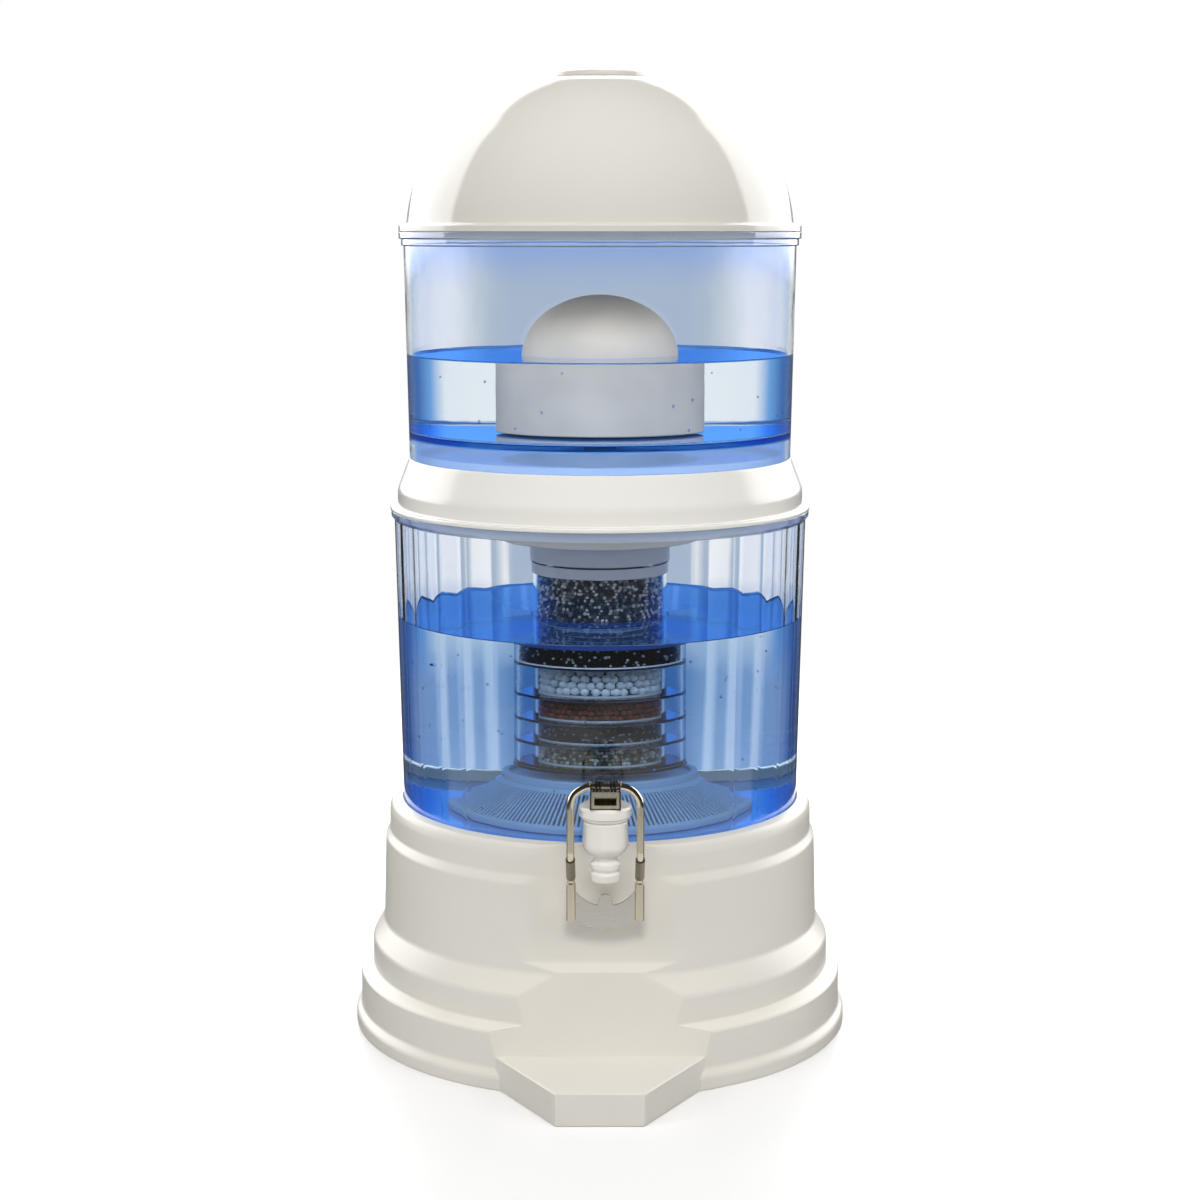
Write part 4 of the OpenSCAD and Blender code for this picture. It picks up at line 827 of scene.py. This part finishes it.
# Pressed white fibre felt between the beds
felt, tree = new_material("pressed polyester felt")
fibres = noise(tree, 600.0, 4.0, 1.5)
principled(tree, {"Roughness": 0.9, "Sheen Weight": 0.2}, {
    "Base Color": between(tree, "#D5DADF", "#F2F4F6", fibres), "Normal": relief(tree, fibres, 0.6, 0.0002)})
finish_nodes(felt, "filter_screens")

# ---- Dome lid ----
# A tall glossy white dome of moulded ABS closes the upper tank. Its side is part of an ellipse, its
# underside has a skirt that enters the tank's mouth, and a vent cap is pressed into its flat top.
dome_r, dome_h, centre_z, steps = 117.3, 103.6, 490, 28
inner_r, inner_h = dome_r - 2.5, dome_h - 2.5
low_turn, high_turn = math.asin(6 / dome_h), math.acos(58 / dome_r)
turns = [low_turn + (high_turn - low_turn) * i / steps for i in range(steps + 1)]
outer = [(dome_r * math.cos(t), centre_z + dome_h * math.sin(t), {0: 1.2, steps: 3.0}.get(i, 0))
         for i, t in enumerate(turns)]
inner = [(inner_r * math.cos(t), centre_z + inner_h * math.sin(t)) for t in reversed(turns)]
dome = turned([(115.7, 487.0, 0.4), (115.7, lid_z), (122, lid_z, 0.5), (122, 496, 1.2)] + outer +
              [(30, 583.05, 1.5), (20.05, 583.05), (20.05, 580.55), (30, 580.55)] + inner +
              [(113.7, 487.0, 0.4)])
dome_white = moulded("moulded ABS, polished white", "#D3D0C8", "#D7D4CC", 0.1, 0.01)
piece(dome, "dome_shell", "lid", ["lid_dome"], [dome_white], crease=38)
vent = turned([(0, 576.6), (20, 576.6, 0.5), (20, 583.1), (29, 583.1, 0.4), (29, 586.05, 1.0),
               (0, 586.05)], 120)
piece(vent, "vent_disc", "lid", ["vent_cap"], [dome_white], crease=38)

# ---- Floor, light and camera ----
# A pale table top that is white where it is looked at straight, a room that shows in gloss and glass,
# large soft lamps all round, and a camera a little above the tanks' middle.
table = bmesh.new()
bmesh.ops.create_circle(table, cap_ends=True, segments=96, radius=1.6)
table_top = in_scene("table_top", as_mesh(table, "table_top"))
lacquer, tree = new_material("white lacquered board")
place = add(tree, "TexCoord").outputs["Object"]
distance = add(tree, "VectorMath", {}, {0: place}, operation="LENGTH").outputs["Value"]
fade = add(tree, "MapRange", {"From Min": 0.5, "From Max": 1.4}, {"Value": distance},
           interpolation_type="SMOOTHSTEP")
looked_at = add(tree, "LightPath").outputs["Is Camera Ray"]
board = add(tree, "BsdfPrincipled", {"Roughness": 0.12, "IOR": 1.45, "Specular IOR Level": 0.25},
            {"Base Color": between(tree, "#BDBDBD", "#F7F7F7", looked_at)})
glow = add(tree, "Emission", {}, {"Strength": maths(tree, "MULTIPLY", looked_at, 0.06)})
whitened = add(tree, "AddShader", {}, {0: board, 1: glow})
surface = add(tree, "MixShader", {}, {0: fade, 1: whitened, 2: add(tree, "BsdfTransparent")})
add(tree, "OutputMaterial", {}, {"Surface": surface})
table_top.data.materials.append(lacquer)
table_top.visible_glossy = False
table_top.visible_transmission = False

world = bpy.data.worlds.new("room")
bpy.context.scene.world = world
world.use_nodes = True
tree = world.node_tree
tree.nodes.clear()
# The heading goes from 0 straight behind to 1 in front, and the level from 0 below to 1 above
x, y, height = add(tree, "SeparateXYZ", {}, {0: add(tree, "TexCoord").outputs["Generated"]}).outputs
heading = maths(tree, "DIVIDE", maths(tree, "ABSOLUTE", maths(tree, "ARCTAN2", x, y)), math.pi)
level = spread(tree, height, 0.0, 1.0, -1.0, 1.0)

# In gloss, bright panels stand from the sides round to the back, narrower towards the top, over a dim
# strip at the back's foot; the front is dark, but for the pale table low down
panels = ramp(tree, maths(tree, "MULTIPLY_ADD", maths(tree, "POWER", height, 4.0), 0.42, heading),
              [(0.456, 1.0), (0.462, 0.0)])
panel_level = ramp(tree, level, [(0.485, 0.015), (0.5, 0.87), (0.868, 0.87), (0.88, 0.01)])
strip = ramp(tree, heading, [(0.1, 1.0), (0.16, 0.0)])
low = ramp(tree, level, [(0.47, 0.0), (0.48, 1.0), (0.53, 1.0), (0.545, 0.0)])
lit = maths(tree, "MULTIPLY", panel_level, 5.5)
sides = add(tree, "Mix", {3: 0.25}, {0: maths(tree, "MULTIPLY", low, strip), 2: lit})
front = spread(tree, height, 0.04, 0.95, -0.235, -0.265)
gloss = add(tree, "Mix", {}, {0: panels, 2: front, 3: sides})

# Through glass, the back is white and pale grey between deep blue sides, and bluer above eye level
pale, sky, deep_blue = "#B2C0D3", (0.2, 0.45, 0.85), (0.04, 0.17, 0.55)
glass = ramp(tree, heading, [
    (0.0, pale), (0.018, pale), (0.022, "#C4CFDB"), (0.03, 0.92), (0.04, 1.0), (0.16, 1.0), (0.2, sky),
    (0.26, deep_blue), (0.46, deep_blue), (0.53, 0.12), (1.0, 0.1)])
by_level = ramp(tree, level, [(0.49, (1.1, 1.1, 1.1)), (0.51, (0.2, 0.62, 1.6))])
glass_high = add(tree, "VectorMath", {}, {0: glass, 1: by_level}, operation="MULTIPLY")

# Steeper down, where light has bent through the water, stands a window with upright blinds
low_room = ramp(tree, heading, [
    (0.052, (0.12, 0.28, 0.55)), (0.08, (0.42, 0.58, 0.82)), (0.22, (0.36, 0.5, 0.78)),
    (0.28, (0.03, 0.13, 0.47)), (0.46, (0.02, 0.12, 0.45)), (0.53, 0.1)])
slats = maths(tree, "MULTIPLY_ADD", maths(tree, "LOGARITHM", heading, math.e), 3.195, 18.02)
blinds = ramp(tree, maths(tree, "FRACT", slats), [
    (0.0, 1.0), (0.2, 0.85), (0.45, 0.0), (0.8, 0.05), (0.97, 1.0)])
window = ramp(tree, heading, [(0.074, 0.0), (0.08, 1.0), (0.165, 1.0), (0.172, 0.0)])


def mixed(tree, factor, first, second):
    """The first where the factor is 0 and the second where it is 1; each is a colour or linked."""
    values, links = {}, {0: factor}
    for socket, given in ((6, first), (7, second)):
        (values if isinstance(given, tuple) else links)[socket] = given
    return add(tree, "Mix", values, links, data_type="RGBA").outputs[2]


glass_low = mixed(tree, maths(tree, "MULTIPLY", blinds, window), low_room, (0.9, 0.95, 1.1, 1))
glass_lit = mixed(tree, spread(tree, height, 0.0, 1.0, -0.15, -0.175), glass_high, glass_low)

# Matt surfaces get a weak even light, and a soft one where they are seen through glass
ray = add(tree, "LightPath").outputs
matt = add(tree, "Mix", {2: 0.12}, {0: ray["Is Glossy Ray"], 3: gloss})
through = mixed(tree, ray["Diffuse Depth"], glass_lit, (0.95, 0.95, 0.95, 1))
seen = mixed(tree, ray["Is Transmission Ray"], matt, through)
light = add(tree, "Background", {}, {"Color": mixed(tree, ray["Is Camera Ray"], seen, (1, 1, 1, 1))})
add(tree, "OutputWorld", {}, {"Surface": light})


def lamp(name, place, target, size, power):
    """A large soft lamp; only the room shows in gloss and glass."""
    data = bpy.data.lights.new(name, "AREA")
    data.shape, data.size, data.size_y, data.energy = "RECTANGLE", *size, power
    data.cycles.use_multiple_importance_sampling = False
    obj = in_scene(name, data)
    obj.location = place
    obj.rotation_euler = (Vector(target) - Vector(place)).to_track_quat("-Z", "Y").to_euler()
    obj.visible_glossy = False
    obj.visible_transmission = False


lamp("top_light", (0, -0.3, 3.0), (0, 0, 0.2), (2.2, 2.2), 26)
lamp("left_light", (-1.5, -0.9, 0.9), (0, 0, 0.3), (1.0, 1.2), 13)
lamp("right_light", (1.5, -0.9, 0.9), (0, 0, 0.3), (1.0, 1.2), 13)
lamp("front_light", (0, -1.65, 1.5), (0, 0, 0.2), (0.6, 0.45), 16)
lamp("back_light", (0, 2.2, 1.2), (0, 0, 0.3), (2.0, 1.0), 24)

camera_data = bpy.data.cameras.new("camera")
camera_data.lens, camera_data.sensor_width = 68.3, 36
camera_data.clip_start, camera_data.clip_end = 0.05, 20
camera = in_scene("camera", camera_data)
camera.location = (0, -1.37955, 0.4912)
camera.rotation_euler = (math.pi / 2 - 0.16, 0, 0)
bpy.context.scene.camera = camera
bpy.context.scene.view_settings.view_transform = "Standard"
